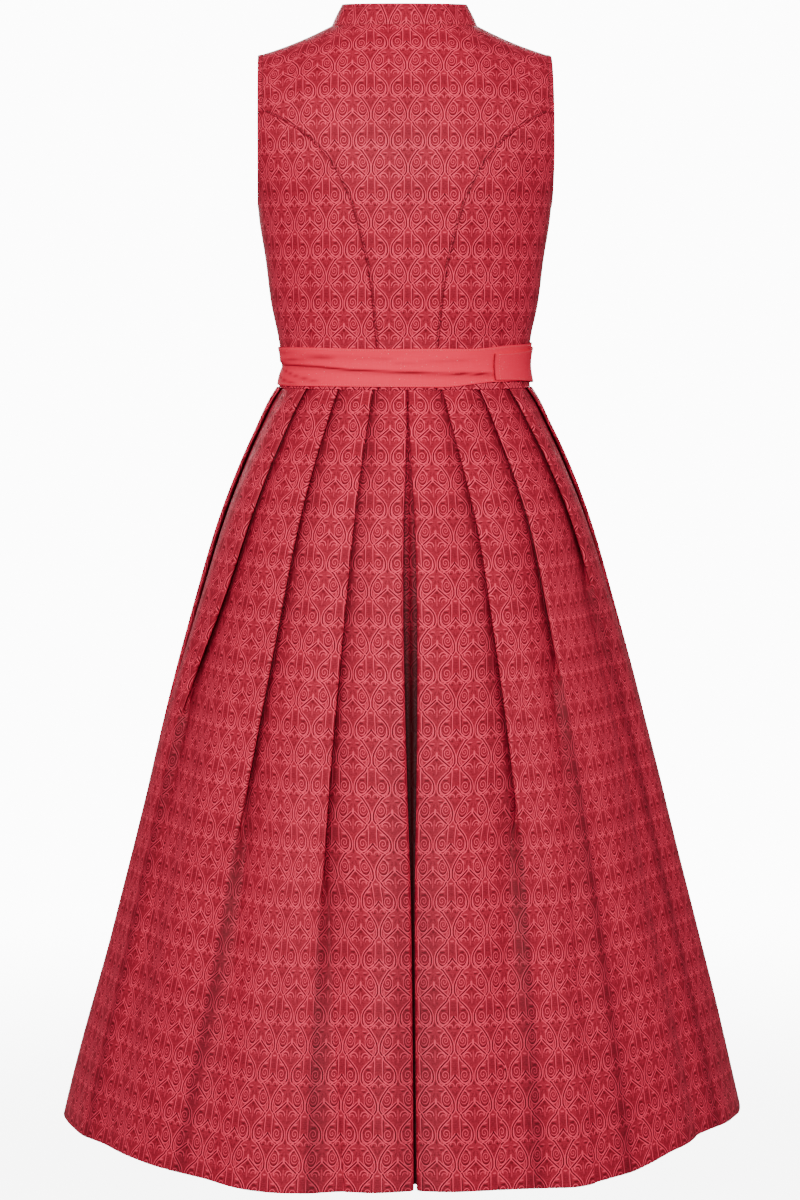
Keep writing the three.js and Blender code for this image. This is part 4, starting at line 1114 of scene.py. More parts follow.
def row_normals(row):
    """Outward normals in the plane of a row of points."""
    step = unit(np.diff(row[:, :2], axis=0))
    before = np.concatenate([step[:1], step])
    after = np.concatenate([step, step[-1:]])
    tangent = unit(before + after)
    stretch = 1 / np.maximum(0.75, np.einsum("ij,ij->i", tangent, before))
    return np.stack([-tangent[:, 1] * stretch, tangent[:, 0] * stretch, 0 * stretch], -1)


# ---------------------------------------------------------------- pleated skirt

SKIRT_LENGTH = 746.0
HEM_DROP_BACK = 0.021
HEM_DROP_FRONT = 0.008
FRONT_DEPTH_SHARE = 0.97
SIDE_SEAM_PLEAT = 5
LARGEST_OVERLAP = 0.92
PLEAT_FOLD = 37.0  # how far a pleat's hidden fold reaches at the waist
PLEAT_CLOSING = 0.85  # exponent by which that fold gets shorter down to its release
FOLD_EDGE_WIDTH = 7  # of a fold that has opened out, beyond its soft wave
CRISP_OVERLAP = 9  # hidden fold from which a pleat's shade is that of a crisp one
NEAREST_FOLD = 1.3
BOX_PLEAT_DEPTH = 36.0
SOFT_WAVE_WIDTH = 0.13
SOFT_WAVE_LIMIT = 46.0

SKIRT = table(
    "drop half_width depth layer rounding opening recess",
    (0, 133.4, 102.4, 2.6, 0, 2.2, 0), (14, 142.2, 111, 2.8, 0, 2.5, 0.5),
    (34, 152.1, 122, 3.0, 0.3, 3.0, 1.5), (76, 170.9, 145, 3.3, 0.8, 4.6, 4),
    (138, 194.4, 173, 3.8, 1.5, 7.6, 7), (222, 219.6, 203, 4.3, 2.5, 8.8, 11),
    (305, 243.3, 231, 4.8, 3.5, 8.2, 14), (389, 265.0, 257, 5.0, 4.5, 6.6, 16),
    (473, 285.7, 282, 5.2, 5.5, 4.6, 16), (556, 306.9, 307, 5.2, 6.0, 4.0, 15),
    (641, 328.7, 334, 5.0, 6.0, 3.8, 13), (746, 353.2, 362, 4.6, 5.5, 3.8, 11),
)
# What the hem hangs lower on either side, by the distance from the centre line as a share of
# half the skirt's width.
HEM_SAG = table(
    "across left right",
    (0, 0, 0), (0.15, 2, 1.5), (0.3, 8, 5), (0.45, 10, 9), (0.6, 8, 7), (0.75, 6, -3),
    (0.87, 7, -4), (1, 8, 0),
)
LEFT_FLARE = 0.015  # how much wider the skirt hangs at the hem on the left
LEFT_FLARE_DROP = 560.0  # where that starts
SQUARENESS_WAIST = 2.25
SQUARENESS_HEM = 2.0
ROUND_DROP = 300.0

LEFT_PLEATS = table(
    "waist high middle hem release",
    (0.1, 0.104, 0.107, 0.1, 480), (0.199, 0.21, 0.219, 0.232, 430),
    (0.304, 0.333, 0.395, 0.375, 330), (0.45, 0.5, 0.53, 0.55, 400),
    (0.53, 0.58, 0.62, 0.64, 430), (0.61, 0.66, 0.7, 0.72, 430), (0.7, 0.74, 0.77, 0.79, 430),
)
RIGHT_PLEATS = table(
    "waist high middle hem release",
    (0.103, 0.129, 0.135, 0.12, 420), (0.212, 0.234, 0.232, 0.215, 280),
    (0.314, 0.358, 0.372, 0.36, 200), (0.42, 0.5, 0.53, 0.55, 400),
    (0.52, 0.58, 0.62, 0.64, 430), (0.61, 0.66, 0.7, 0.72, 430), (0.7, 0.74, 0.77, 0.79, 430),
)
PLEAT_DROPS = {"waist": 0, "high": 160, "middle": 350, "hem": SKIRT_LENGTH}

skirt = {key: column(SKIRT, "drop", key) for key in SKIRT[0] if key != "drop"}
hem_sag = {1: column(HEM_SAG, "across", "left"), -1: column(HEM_SAG, "across", "right")}

SKIRT_DROPS = np.concatenate([
    [0, 0.8], np.linspace(3, 60, 14), np.linspace(68, SKIRT_LENGTH - 6, 84),
    [SKIRT_LENGTH - 3, SKIRT_LENGTH - 1, SKIRT_LENGTH],
])
PANEL_SHARES = np.array([0.0, 0.06, 0.16, 0.32, 0.5, 0.68, 0.84, 0.94, 1.0])
BOX_POINTS = 8
FOLD_POINTS = 7


def skirt_section(drop, inset):
    """The skirt's section at a drop below the waist seam, moved in from the fold edges."""
    squareness = mix(SQUARENESS_WAIST, SQUARENESS_HEM, float(smooth(0, ROUND_DROP, drop)))
    depth = skirt["depth"](drop) - inset
    return HalfSection(skirt["half_width"](drop) - inset, depth, depth * FRONT_DEPTH_SHARE, squareness)


def facing_of(drop, y):
    """Which way a skirt point lies from the body axis: 1 is the back, -1 the front."""
    return np.clip(y / skirt["depth"](drop), -1, 1)


def skirt_height(drop, y):
    """Height of a skirt point: the hem hangs a little lower at the back and the front."""
    facing = facing_of(drop, y)
    longer = np.where(facing > 0, HEM_DROP_BACK, HEM_DROP_FRONT)
    return WAIST_Z - CAD_SEAM_GAP - drop * (1 + longer * facing**2)


def sag(side, drop, flat):
    """How much lower a skirt point hangs where the hem sags, which fades out towards the front."""
    facing = facing_of(drop, flat[:, 1])
    across = np.where(facing > 0, flat[:, 0] / skirt["half_width"](drop), 1)
    return hem_sag[side](across) * np.minimum(1, 1 + facing) * (drop / SKIRT_LENGTH) ** 3


def flare(side, drop, flat):
    """How much further out a skirt point hangs on the left."""
    if side < 0:
        return 1.0
    towards_hem = smooth(LEFT_FLARE_DROP, SKIRT_LENGTH, drop)
    return 1 + LEFT_FLARE * towards_hem * smooth(-0.3, 0, facing_of(drop, flat[:, 1]))


def fold_share(pleat, drop):
    """Where a fold edge lies at a drop, as a share of half the girth."""
    rows = [{"drop": place, "share": pleat[key]} for key, place in PLEAT_DROPS.items()]
    return float(column(rows, "drop", "share")(drop))


def fold_overlap(pleat, drop, panel_width):
    """How far a hidden fold reaches under its panel; past its release, minus its soft width."""
    if drop >= pleat["release"]:
        return -min(SOFT_WAVE_LIMIT, (drop - pleat["release"]) * SOFT_WAVE_WIDTH + 1)
    left = (1 - drop / pleat["release"]) ** PLEAT_CLOSING
    return min(LARGEST_OVERLAP * panel_width, PLEAT_FOLD * left)


def fold_points(overlap, layer, slope):
    """Points of one fold: arc length from the fold edge, and level above the section."""
    crisp = float(smooth(-3, 4, overlap))
    bulge = layer / 2
    reach = max(overlap, 0.5)
    folded = [(0, 0), (reach, -slope * reach), (reach + bulge, layer / 2 - slope * reach),
              (reach, layer - slope * reach), (0, layer), (-bulge, 1.5 * layer), (0, 2 * layer)]
    width = max(-overlap, 0) + FOLD_EDGE_WIDTH
    waved = []
    for i in range(len(folded)):
        share = i / (len(folded) - 1)
        waved.append((-width * (1 - share), mix(slope * width, 2 * layer, share**2 * (3 - 2 * share))))
    return [(mix(w[0], f[0], crisp), mix(w[1], f[1], crisp)) for f, w in zip(folded, waved)]


# painted shade along the pleats: in the folds, beside their edges and in the soft valleys below them
FOLD_SHADES = np.array([0.85, 1.0, 1.0, 1.0, 0.9, 0.25, 0.0])  # of the points of a crisp fold
FOLD_SHADE_WIDTH = 9.0  # how far the shade of a fold edge reaches over the panel under it
SOFT_SHADE = 0.55  # of a valley below a pleat's release
SOFT_SHADE_WIDTH = 13.0
GAP_SHADE = 0.5  # beside the centre back opening, low down


def crispness(overlap):
    """1 where a pleat is crisp, and 0 past its release."""
    return float(smooth(0, CRISP_OVERLAP, overlap))


def valley_shade(distance, overlap):
    """Shade on a panel at a distance from the fold edge that it runs under."""
    under = 0.85 * np.exp(-(distance / FOLD_SHADE_WIDTH) ** 1.2)
    soft = SOFT_SHADE * np.exp(-((distance - 5) / SOFT_SHADE_WIDTH) ** 2)
    return mix(soft, under, crispness(overlap))


def panel_rounding(s, edges):
    """Soft rounding of the panels between fold edges, from 0 at the edges to 1 between them."""
    rounding = np.zeros_like(s)
    for start, end in zip(edges[:-1], edges[1:]):
        inside = (s >= start) & (s < end)
        share = np.clip((s - start) / (end - start), 0, 1)
        rounding = np.where(inside, np.sin(math.pi * share**0.75) ** 2, rounding)
    return rounding


def pleated_half(pleats, drop, section):
    """Half of the pleated section, from the centre back to the centre front: arc lengths,
    levels and shades, the indices of the fold edges and the overlap of each fold."""
    layer, opening, recess = (float(skirt[key](drop)) for key in ("layer", "opening", "recess"))
    edges = [fold_share(pleat, drop) * section.length for pleat in pleats]
    starts = [opening, *edges]
    first_width = edges[0] - opening
    box = min(BOX_PLEAT_DEPTH, LARGEST_OVERLAP * first_width)
    slope = 2 * layer / first_width
    # painted shade on the underlay inside the centre back opening, darker lower down
    deep = mix(0.3, 1.0, float(smooth(90, 330, drop)))
    points = [
        (0, -recess, deep), (opening, -recess, mix(deep, 1, 0.5)),
        (opening + box, -recess - slope * box, 1),
        (opening + box + layer / 2, layer / 2 - recess - slope * box, 1),
        (opening + box, layer - recess - slope * box, 1), (opening, layer - recess * 0.35, 1),
        (max(opening - layer / 2, NEAREST_FOLD), 1.5 * layer - recess * 0.12, 0.3),
        (opening, 2 * layer, 0),
    ]
    tips, overlaps = [BOX_POINTS - 2], [box]
    for k, pleat in enumerate(pleats):
        start, end = starts[k], edges[k]
        width = end - start
        slope = 2 * layer / width
        next_width = (edges[k + 1] if k + 1 < len(edges) else end + width) - end
        overlap = fold_overlap(pleat, drop, next_width)
        fold = fold_points(overlap, layer, 2 * layer / next_width)
        near, far = 2.0, width + min(0, fold[0][0])
        for share in PANEL_SHARES:
            s = mix(near, far, share)
            shade = valley_shade(width - s, overlap)
            if k == 0:
                shade = np.maximum(shade, GAP_SHADE * smooth(150, 560, drop) * np.exp(-s / 12))
            points.append((start + s, 2 * layer - slope * s, float(shade)))
        crisp = crispness(overlap)
        for (s, level), folded in zip(fold, FOLD_SHADES):
            soft = float(valley_shade(-s, -1)) if s < 0 else 0
            points.append((end + s, level, mix(soft, folded, crisp)))
        tips.append(len(points) - 2)
        overlaps.append(overlap)
    last = edges[-1]
    for share in np.linspace(0, 1, 24)[1:]:
        points.append((mix(last, section.length, share), 2 * layer, 0))
    line = np.array(points)
    line[:, 1] += panel_rounding(line[:, 0], [0, *edges]) * skirt["rounding"](drop)
    return line, tips, overlaps


def seam_index(pleat_number):
    """Index of the point where a panel passes under the fold edge of a pleat."""
    return BOX_POINTS + pleat_number * len(PANEL_SHARES) + (pleat_number - 1) * FOLD_POINTS


def cloth_lengths(line, tips, overlaps, cells):
    """Place on the flat cloth of each point of a row. Every fold edge keeps its own thread, and
    what a cell is longer or shorter than its cloth is lost where the fold hides it."""
    steps = np.hypot(np.diff(line[:, 0]), np.diff(line[:, 1]))
    run = running(steps)
    marks = [0, *tips, len(line) - 1]
    lengths = [run[b] - run[a] for a, b in zip(marks[:-1], marks[1:])]
    if cells is None:
        return None, lengths
    u = np.zeros(len(line))
    start = 0.0
    for k, (a, b) in enumerate(zip(marks[:-1], marks[1:])):
        cell = cells[k]
        distance = run[a:b + 1] - run[a]
        lost = cell - lengths[k]
        overlap = overlaps[k] if k < len(overlaps) else -1
        hidden_start = run[max(a, b - 5)] - run[a]
        hidden = np.clip((distance - hidden_start) / max(lengths[k] - hidden_start, 1e-6), 0, 1)
        folded = float(smooth(2, 15, overlap))
        spread = folded * hidden + (1 - folded) * distance / lengths[k]
        u[a:b + 1] = start + distance + lost * spread
        start += cell
    return u, lengths


def corner_cut(values, rounds=2):
    """Rounds a row of control points by cutting its corners; the ends stay."""
    for _ in range(rounds):
        first = 0.75 * values[:-1] + 0.25 * values[1:]
        second = 0.25 * values[:-1] + 0.75 * values[1:]
        inner = np.stack([first, second], 1).reshape(-1, values.shape[1])
        values = np.concatenate([values[:1], inner[1:-1], values[-1:]])
    return values


# Soft waves that run down the panels: waves round the half girth, phase, phase drift along
# the length, and height in millimetres.
PANEL_WAVES = table(
    "count phase drift height",
    (9.3, 0.4, 1.7, 0.7), (14.7, 2.1, -2.3, 0.5), (5.1, 4.0, 1.1, 0.9), (23.0, 1.3, 3.1, 0.25),
)


def panel_waves(share, drop, side):
    """Small unevenness of hanging cloth, from nothing at the waist."""
    moved = np.zeros_like(share)
    for row in PANEL_WAVES:
        angle = 2 * math.pi * row["count"] * share + row["phase"] * (2 - side)
        moved += row["height"] * np.sin(angle + row["drift"] * drop / 300 + side)
    return moved * float(smooth(40, 420, drop))


def skirt_half(pleats, side):
    """Grids of one half of the skirt: points, and places on the flat cloth."""
    sections = [skirt_section(drop, 2 * skirt["layer"](drop) + CAD_WALL / 2) for drop in SKIRT_DROPS]
    hem_line = pleated_half(pleats, SKIRT_LENGTH, sections[-1])
    _, cells = cloth_lengths(*hem_line, None)
    slope = np.gradient(skirt["half_width"](SKIRT_DROPS), SKIRT_DROPS)
    steps = np.diff(SKIRT_DROPS) * np.sqrt(1 + ((slope[1:] + slope[:-1]) / 2) ** 2)
    slant = running(steps)
    back, front = [], []
    split = seam_index(SIDE_SEAM_PLEAT)
    for drop, section, down in zip(SKIRT_DROPS, sections, slant):
        line, tips, overlaps = pleated_half(pleats, drop, section)
        u, _ = cloth_lengths(line, tips, overlaps, cells)
        data = np.column_stack([line, u])
        seam = (data[split] + data[split + 1]) / 2
        parts = ((back, [*data[:split + 1], seam]), (front, [seam, *data[split + 1:]]))
        for rows, part in parts:
            fine = corner_cut(np.array(part))
            point, normal = section.at(fine[:, 0])
            level = fine[:, 1] + panel_waves(fine[:, 0] / section.length, drop, side)
            flat = point + normal * level[:, None]
            x = flat[:, 0] * side * flare(side, drop, flat)
            z = skirt_height(drop, flat[:, 1]) - sag(side, drop, flat)
            world = np.column_stack([x, flat[:, 1], z])
            rows.append((world, fine[:, 3] * side, np.full(len(fine), -down), fine[:, 2]))
    grids = {}
    for name, rows in (("back", back), ("front", front)):
        points = np.array([row[0] for row in rows])
        points[:, 0 if name == "back" else -1, 0] = 0
        normals = np.array([row_normals(row) for row in points]) * side
        grids[name] = (points, normals, *(np.array([row[k] for row in rows]) for k in (1, 2, 3)))
    return grids


CENTRE_PANEL_SHIFT = {1: 6.0, -1: -2.0}  # where the pattern starts at the centre back folds


def make_skirt(brocade):
    """Four panels, pleated as one with the folds towards the centre back."""
    for side, pleats in ((1, LEFT_PLEATS), (-1, RIGHT_PLEATS)):
        for face, (points, normals, u, v, shade) in skirt_half(pleats, side).items():
            name = f"skirt_{face}_{SIDE_WORDS[side]}"
            centre_edge_side = "first_col" if face == "back" else "last_col"
            wall(name, points, normals, u + CENTRE_PANEL_SHIFT[side], v, brocade,
                 rounded=("last_row", centre_edge_side), shade=shade)


# ---------------------------------------------------------------- apron, waistband and tie

BAND_TOP_Z = -327.5
BAND_BOTTOM_Z = -366.3
BAND_END_ARC = 92.0
TIE_START_SHARE = 0.66
TIE_END_SHARE = 0.6
APRON_START_SHARE = 0.62
APRON_GATHERS = 17
APRON_COLUMNS = 2 * APRON_GATHERS  # half waves across the apron
APRON_SLACK = 1.06  # the gathered cloth's length over the width that it hangs in
APRON_SLANT = 1.04  # length down the slanting apron over its height
APRON_HEM_ABOVE_SKIRT = 42.0
APRON_TOP_LAYER = 1.3
APRON_CLEARANCE = 1.2
GATHER_DEPTH_TOP = 2.2
GATHER_DEPTH_HEM = 6.0
APRON_WALL = 1.1
STRIP_WALL = 1.3


def band_section(z, layers):
    """The bodice's section at a height, moved out to the layer that lies on it."""
    outset = layers * (CAD_WALL + LAY_GAP)
    return HalfSection(torso_half_width(z) + outset, torso_depth["back"](z) + outset,
                       torso_depth["front"](z) + outset, TORSO_SQUARENESS)


def apron_panel(coral):
    """The apron hangs in gathers from its waistband, over the skirt's front."""
    hem_drop = SKIRT_LENGTH - APRON_HEM_ABOVE_SKIRT
    drops = np.concatenate([
        [-2.2], np.linspace(1, 60, 16), np.linspace(68, SKIRT_LENGTH - 50, 62),
        [SKIRT_LENGTH - 44.5, SKIRT_LENGTH - 43, hem_drop],
    ])
    columns = np.concatenate([
        [0, 0.03, 0.08], np.linspace(0.16, 33.84, 270), [33.92, 33.97, APRON_COLUMNS],
    ])
    rows, us, vs = [], [], []
    hem = skirt_section(hem_drop, -APRON_CLEARANCE)
    width = 2 * hem.length * (1 - APRON_START_SHARE)
    down = 0.0
    for i, drop in enumerate(drops):
        on_band = drop < 0
        if on_band:
            section = band_section(BAND_BOTTOM_Z, APRON_TOP_LAYER)
        else:
            outset = -skirt["rounding"](drop) - APRON_CLEARANCE - CAD_WALL / 2
            section = skirt_section(drop, outset)
        start = APRON_START_SHARE * section.length
        end = 2 * section.length - start
        s = mix(start, end, columns / APRON_COLUMNS)
        point, normal = section.at(s)
        deepest = mix(GATHER_DEPTH_TOP, GATHER_DEPTH_HEM, float(smooth(0, 500, drop)))
        depth = 0 if on_band else deepest
        drift = 0.35 * np.sin(columns * 0.9 + drop / 260) * float(smooth(60, 500, drop))
        uneven = 0.82 + 0.18 * np.sin(columns * 0.47 + 1.1 + drop / 190)
        wave = depth * uneven * (0.5 - 0.5 * np.cos(math.pi * (columns + drift)))
        flat = point + normal * wave[:, None]
        seam = np.full(len(s), BAND_BOTTOM_Z - CAD_SEAM_GAP)
        z = seam if on_band else skirt_height(drop, flat[:, 1])
        rows.append(np.column_stack([flat, z]))
        us.append((columns / APRON_COLUMNS - 0.5) * width * APRON_SLACK)
        down += 0 if i == 0 else abs(drop - drops[i - 1]) * APRON_SLANT
        vs.append(np.full(len(s), -down))
    points = np.array(rows)
    normals = np.array([row_normals(row) for row in points])
    wall("apron_panel", points, normals, np.array(us), np.array(vs), coral,
         APRON_WALL, ("last_row", "first_col", "last_col"))


STRIP_ROWS = np.array([
    0, 0.015, 0.05, 0.09, 0.14, 0.2, 0.26, 0.32, 0.38, 0.43, 0.47, 0.5, 0.53, 0.57,
    0.62, 0.68, 0.74, 0.8, 0.86, 0.91, 0.95, 0.985, 1,
])


def waist_strip(name, s_from, s_to, steps, layers_at, relief_at, shade_at, edges_at, coral):
    """A strip of cloth round the waist. Arc lengths run from the centre back to the left."""
    probe = band_section(BAND_TOP_Z, 1).length
    share = np.concatenate([[0, 0.002, 0.006], np.linspace(0.012, 0.988, steps), [0.994, 0.998, 1]])
    arcs = mix(s_from * probe, s_to * probe, share)
    top, bottom = edges_at(arcs)
    rows, us, vs = [], [], []
    for fall in STRIP_ROWS:
        z = mix(top, bottom, fall)
        row = []
        for arc, height in zip(arcs, z):
            section = band_section(height, float(layers_at(arc / probe)))
            row.append([*section.locate(arc / probe * section.length), height])
        rows.append(row)
        us.append(arcs)
        vs.append(z - BAND_BOTTOM_Z)
    middle = np.array(rows)
    normals = np.array([row_normals(row) for row in middle])
    if s_to < s_from:
        normals = -normals
    u, v = np.array(us), np.array(vs)
    middle = middle + normals * relief_at(u, v)[..., None]
    wall(name, middle, normals, u, v, coral, STRIP_WALL, tuple(FREE_EDGES),
         shade_at(u, v))


def fold_line(row, arc, height):
    """Distance above a fold's line, and how far the fold has risen along its length."""
    xs, zs = zip(*row["path"])
    starts = smooth(xs[0] - 12, xs[0] + 4, arc)
    ends = smooth(xs[-1] + 12, xs[-1] - 4, arc)
    return height - np.interp(arc, xs, zs), starts * ends


def crease(row, arc, height):
    """A lengthwise fold along a path: full above the line and tucked in below it."""
    distance, fade = fold_line(row, arc, height)
    sharp = row["sharp"]
    above = np.exp(-np.maximum(distance, 0) / 7) * smooth(-sharp, sharp, distance)
    below = np.exp(-np.maximum(-distance, 0) / 2.6) * smooth(sharp, -sharp, distance)
    return row["height"] * fade * (above - 0.45 * below)


# Long folds of the tie, from the right end to the left: arc length from the centre back and
# height above the strip's lower edge, and how high and how softly each fold stands.
TIE_FOLDS = (
    {"path": ((-88, 13.2), (-24, 14.4), (-4, 15.3), (56, 17.6), (96, 20.6), (128, 21.5), (170, 22)),
     "height": 1.8, "sharp": 0.7},
    {"path": ((100, 6.5), (124, 10.5), (146, 15.5), (172, 19.5)), "height": 0.9, "sharp": 1.1},
    {"path": ((80, 30.5), (118, 28.5), (148, 26.0), (176, 23.0)), "height": 1.0, "sharp": 0.8},
    {"path": ((20, 29.5), (70, 31), (120, 33.5), (160, 34)), "height": 0.45, "sharp": 1.2},
    {"path": ((-60, 27.5), (-20, 26), (10, 24.5)), "height": 0.35, "sharp": 1.2},
    {"path": ((128, 3.5), (150, 6.0), (174, 12.5)), "height": 0.9, "sharp": 0.8},
)
# Where the tie is drawn in.
PINCH = {"arc": 186, "height": 20.5, "long": 22, "wide": 7, "depth": 2.6}


def tie_relief(arc, height):
    """The tie's folds, its rolled edges and the slackness between them."""
    relief = np.zeros_like(arc)
    for row in TIE_FOLDS:
        relief += crease(row, arc, height)
    relief += 0.25 * np.sin(arc / 23 + height / 9) * smooth(0, 8, height) * smooth(39, 30, height)
    along = (arc - PINCH["arc"]) / PINCH["long"]
    across = (height - PINCH["height"]) / PINCH["wide"]
    return relief * 0.9 + 0.2 - PINCH["depth"] * np.exp(-(along**2 + across**2))


def tie_shade(arc, height):
    """Shade in the tie's folds, just under each line."""
    shade = np.zeros_like(arc)
    for row in TIE_FOLDS:
        distance, fade = fold_line(row, arc, height)
        line = np.exp(-((distance + 0.5) / 0.9) ** 2)
        line = line + 0.3 * np.exp(-((distance + 2.5) / 2.5) ** 2)
        shade = np.maximum(shade, 0.45 * row["height"] * fade * line)
    return shade


def band_shade(arc, height):
    """Shade round the squared end of the waistband, the same at every height."""
    return 0.9 * np.exp(-(arc + BAND_END_ARC) ** 2)


def band_relief(arc, height):
    """The interfaced waistband, nearly flat with a firm squared end."""
    soft = 0.25 * np.sin(arc / 31 + 0.6) * np.sin(height / 13 + arc / 60)
    return soft + 0.2


def tie_edges(arc):
    """Upper and lower edge heights of the tie."""
    top = BAND_TOP_Z + 0.5 * np.sin(arc / 60) - 0.4 * np.sin(arc / 23)
    top = top + 4.0 * smooth(-60, -120, arc)
    bottom = BAND_BOTTOM_Z + 5.0 * smooth(-30, -95, arc) + 0.4 * np.sin(arc / 41)
    return top, bottom


def band_edges(arc):
    """Upper and lower edge heights of the waistband, narrower at its squared end."""
    past = -BAND_END_ARC - arc
    top = BAND_TOP_Z - 5.4 * smooth(110, 0, past)
    bottom = BAND_BOTTOM_Z + 6.5 * smooth(150, 0, past)
    return top, bottom


def waist_layers(share):
    """How many layers out the waistband lies: first over the tie, and then on the bodice."""
    if share < -1:
        return 1.0
    return 2 - float(smooth(TIE_END_SHARE + 0.03, TIE_END_SHARE + 0.12, abs(share)))


def make_waist(coral):
    """The tie round the back, and the waistband over its right end and round the front."""
    half = band_section(BAND_TOP_Z, 1).length
    gap = HALF_GAP / half
    waist_strip("apron_tie", TIE_START_SHARE - gap, -TIE_END_SHARE, 300,
                lambda share: 1.0, tie_relief, tie_shade, tie_edges, coral)
    waist_strip("apron_waistband", -BAND_END_ARC / half, -2 + TIE_START_SHARE + gap, 260,
                waist_layers, band_relief, band_shade, band_edges, coral)


# ---------------------------------------------------------------- buttons

BUTTON_COUNT = 7
BUTTON_TOP_Z = -84.0
BUTTON_PITCH = 36.0
BUTTON_RADIUS = 6.5
BUTTON_HEIGHT = 3.4
BUTTON_SEAT = 0.7
BUTTON_PROFILE = (
    (0, 0), (4.6, 0), (5.4, 0.25), (6.2, 0.8), (6.5, 1.25), (6.4, 1.75), (6.0, 2.05), (5.5, 2.1),
    (5.15, 1.85), (4.8, 1.8), (4.45, 2.1), (3.8, 2.6), (2.9, 3.05), (1.9, 3.3), (0.9, 3.4), (0, 3.4),
)
PETALS = 8
PETAL_ZONE = (1.0, 4.4)  # radii between which the dome is petalled
BEADS = 18
BEAD_RADIUS = 0.42
BEAD_RING = 4.95  # radius of the ring of beads
BEAD_HEIGHT = 1.95


def button_points(segments=40):
    """A domed button with a rolled rim, a groove and a petalled dome."""
    points, quads = [], []
    inner = BUTTON_PROFILE[1:-1]
    turn = np.arange(segments) * 2 * math.pi / segments
    for radius, height in inner:
        petal = np.cos(PETALS * turn) * (PETAL_ZONE[0] < radius < PETAL_ZONE[1])
        reach = radius * (1 + 0.03 * petal)
        rise = height + 0.12 * petal
        points.append(np.stack([reach * np.cos(turn), reach * np.sin(turn), rise], -1))
    points = np.concatenate(points)
    rings = len(inner)
    for r in range(rings - 1):
        for i in range(segments):
            j = (i + 1) % segments
            low, high = r * segments, (r + 1) * segments
            quads.append((low + i, low + j, high + j, high + i))
    count = len(points)
    points = np.concatenate([points, [[0, 0, 0], [0, 0, BUTTON_HEIGHT]]])
    fans = [(count, (i + 1) % segments, i) for i in range(segments)]
    top = (rings - 1) * segments
    fans += [(count + 1, top + i, top + (i + 1) % segments) for i in range(segments)]
    return points, quads + fans


def bead_points(radius):
    """A small round bead of a few faces."""
    rings, sides = 4, 8
    points = [(0, 0, radius)]
    for r in range(1, rings):
        lat = math.pi * r / rings
        for i in range(sides):
            lon = 2 * math.pi * i / sides
            across = radius * math.sin(lat)
            points.append((across * math.cos(lon), across * math.sin(lon),
                           radius * math.cos(lat)))
    points.append((0, 0, -radius))
    faces = [(0, 1 + i, 1 + (i + 1) % sides) for i in range(sides)]
    for r in range(rings - 2):
        for i in range(sides):
            j = (i + 1) % sides
            upper, lower = 1 + r * sides, 1 + (r + 1) * sides
            faces.append((upper + i, lower + i, lower + j, upper + j))
    low = 1 + (rings - 2) * sides
    faces += [(len(points) - 1, low + (i + 1) % sides, low + i) for i in range(sides)]
    return np.array(points), faces


def button_frame(z):
    """Where a button sits on the front, and its outward and upward directions."""
    point = torso_point("front", 0.0, z)
    above = torso_point("front", 0.0, z + BUTTON_RADIUS)
    slope = unit(above - torso_point("front", 0.0, z - BUTTON_RADIUS))
    outward = np.array([0.0, -slope[2], slope[1]])
    return point + outward * (CAD_WALL / 2 + BUTTON_SEAT), outward, slope


def make_buttons(pewter):
    """Seven pewter buttons with a ring of beads round the dome."""
    for i in range(BUTTON_COUNT):
        centre, outward, up = button_frame(BUTTON_TOP_Z - i * BUTTON_PITCH)
        side = np.cross(up, outward)
        points, faces = button_points()
        for b in range(BEADS):
            angle = 2 * math.pi * b / BEADS
            bead, bead_faces = bead_points(BEAD_RADIUS)
            across, up_ring = BEAD_RING * math.cos(angle), BEAD_RING * math.sin(angle)
            shifted = bead + (across, up_ring, BEAD_HEIGHT)
            faces += [tuple(len(points) + j for j in face) for face in bead_faces]
            points = np.concatenate([points, shifted])
        world = centre + points[:, :1] * side + points[:, 1:2] * up + points[:, 2:] * outward
        name = f"button_{i + 1}"
        mesh = bpy.data.meshes.new(name)
        mesh.from_pydata((world * MM).tolist(), [], faces)
        mesh.materials.append(pewter)
        mesh.shade_smooth()
        piece = link(bpy.data.objects.new(name, mesh))
        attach(piece, "root")
        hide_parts(f"front_button_{i + 1}")


# ---------------------------------------------------------------- stitching

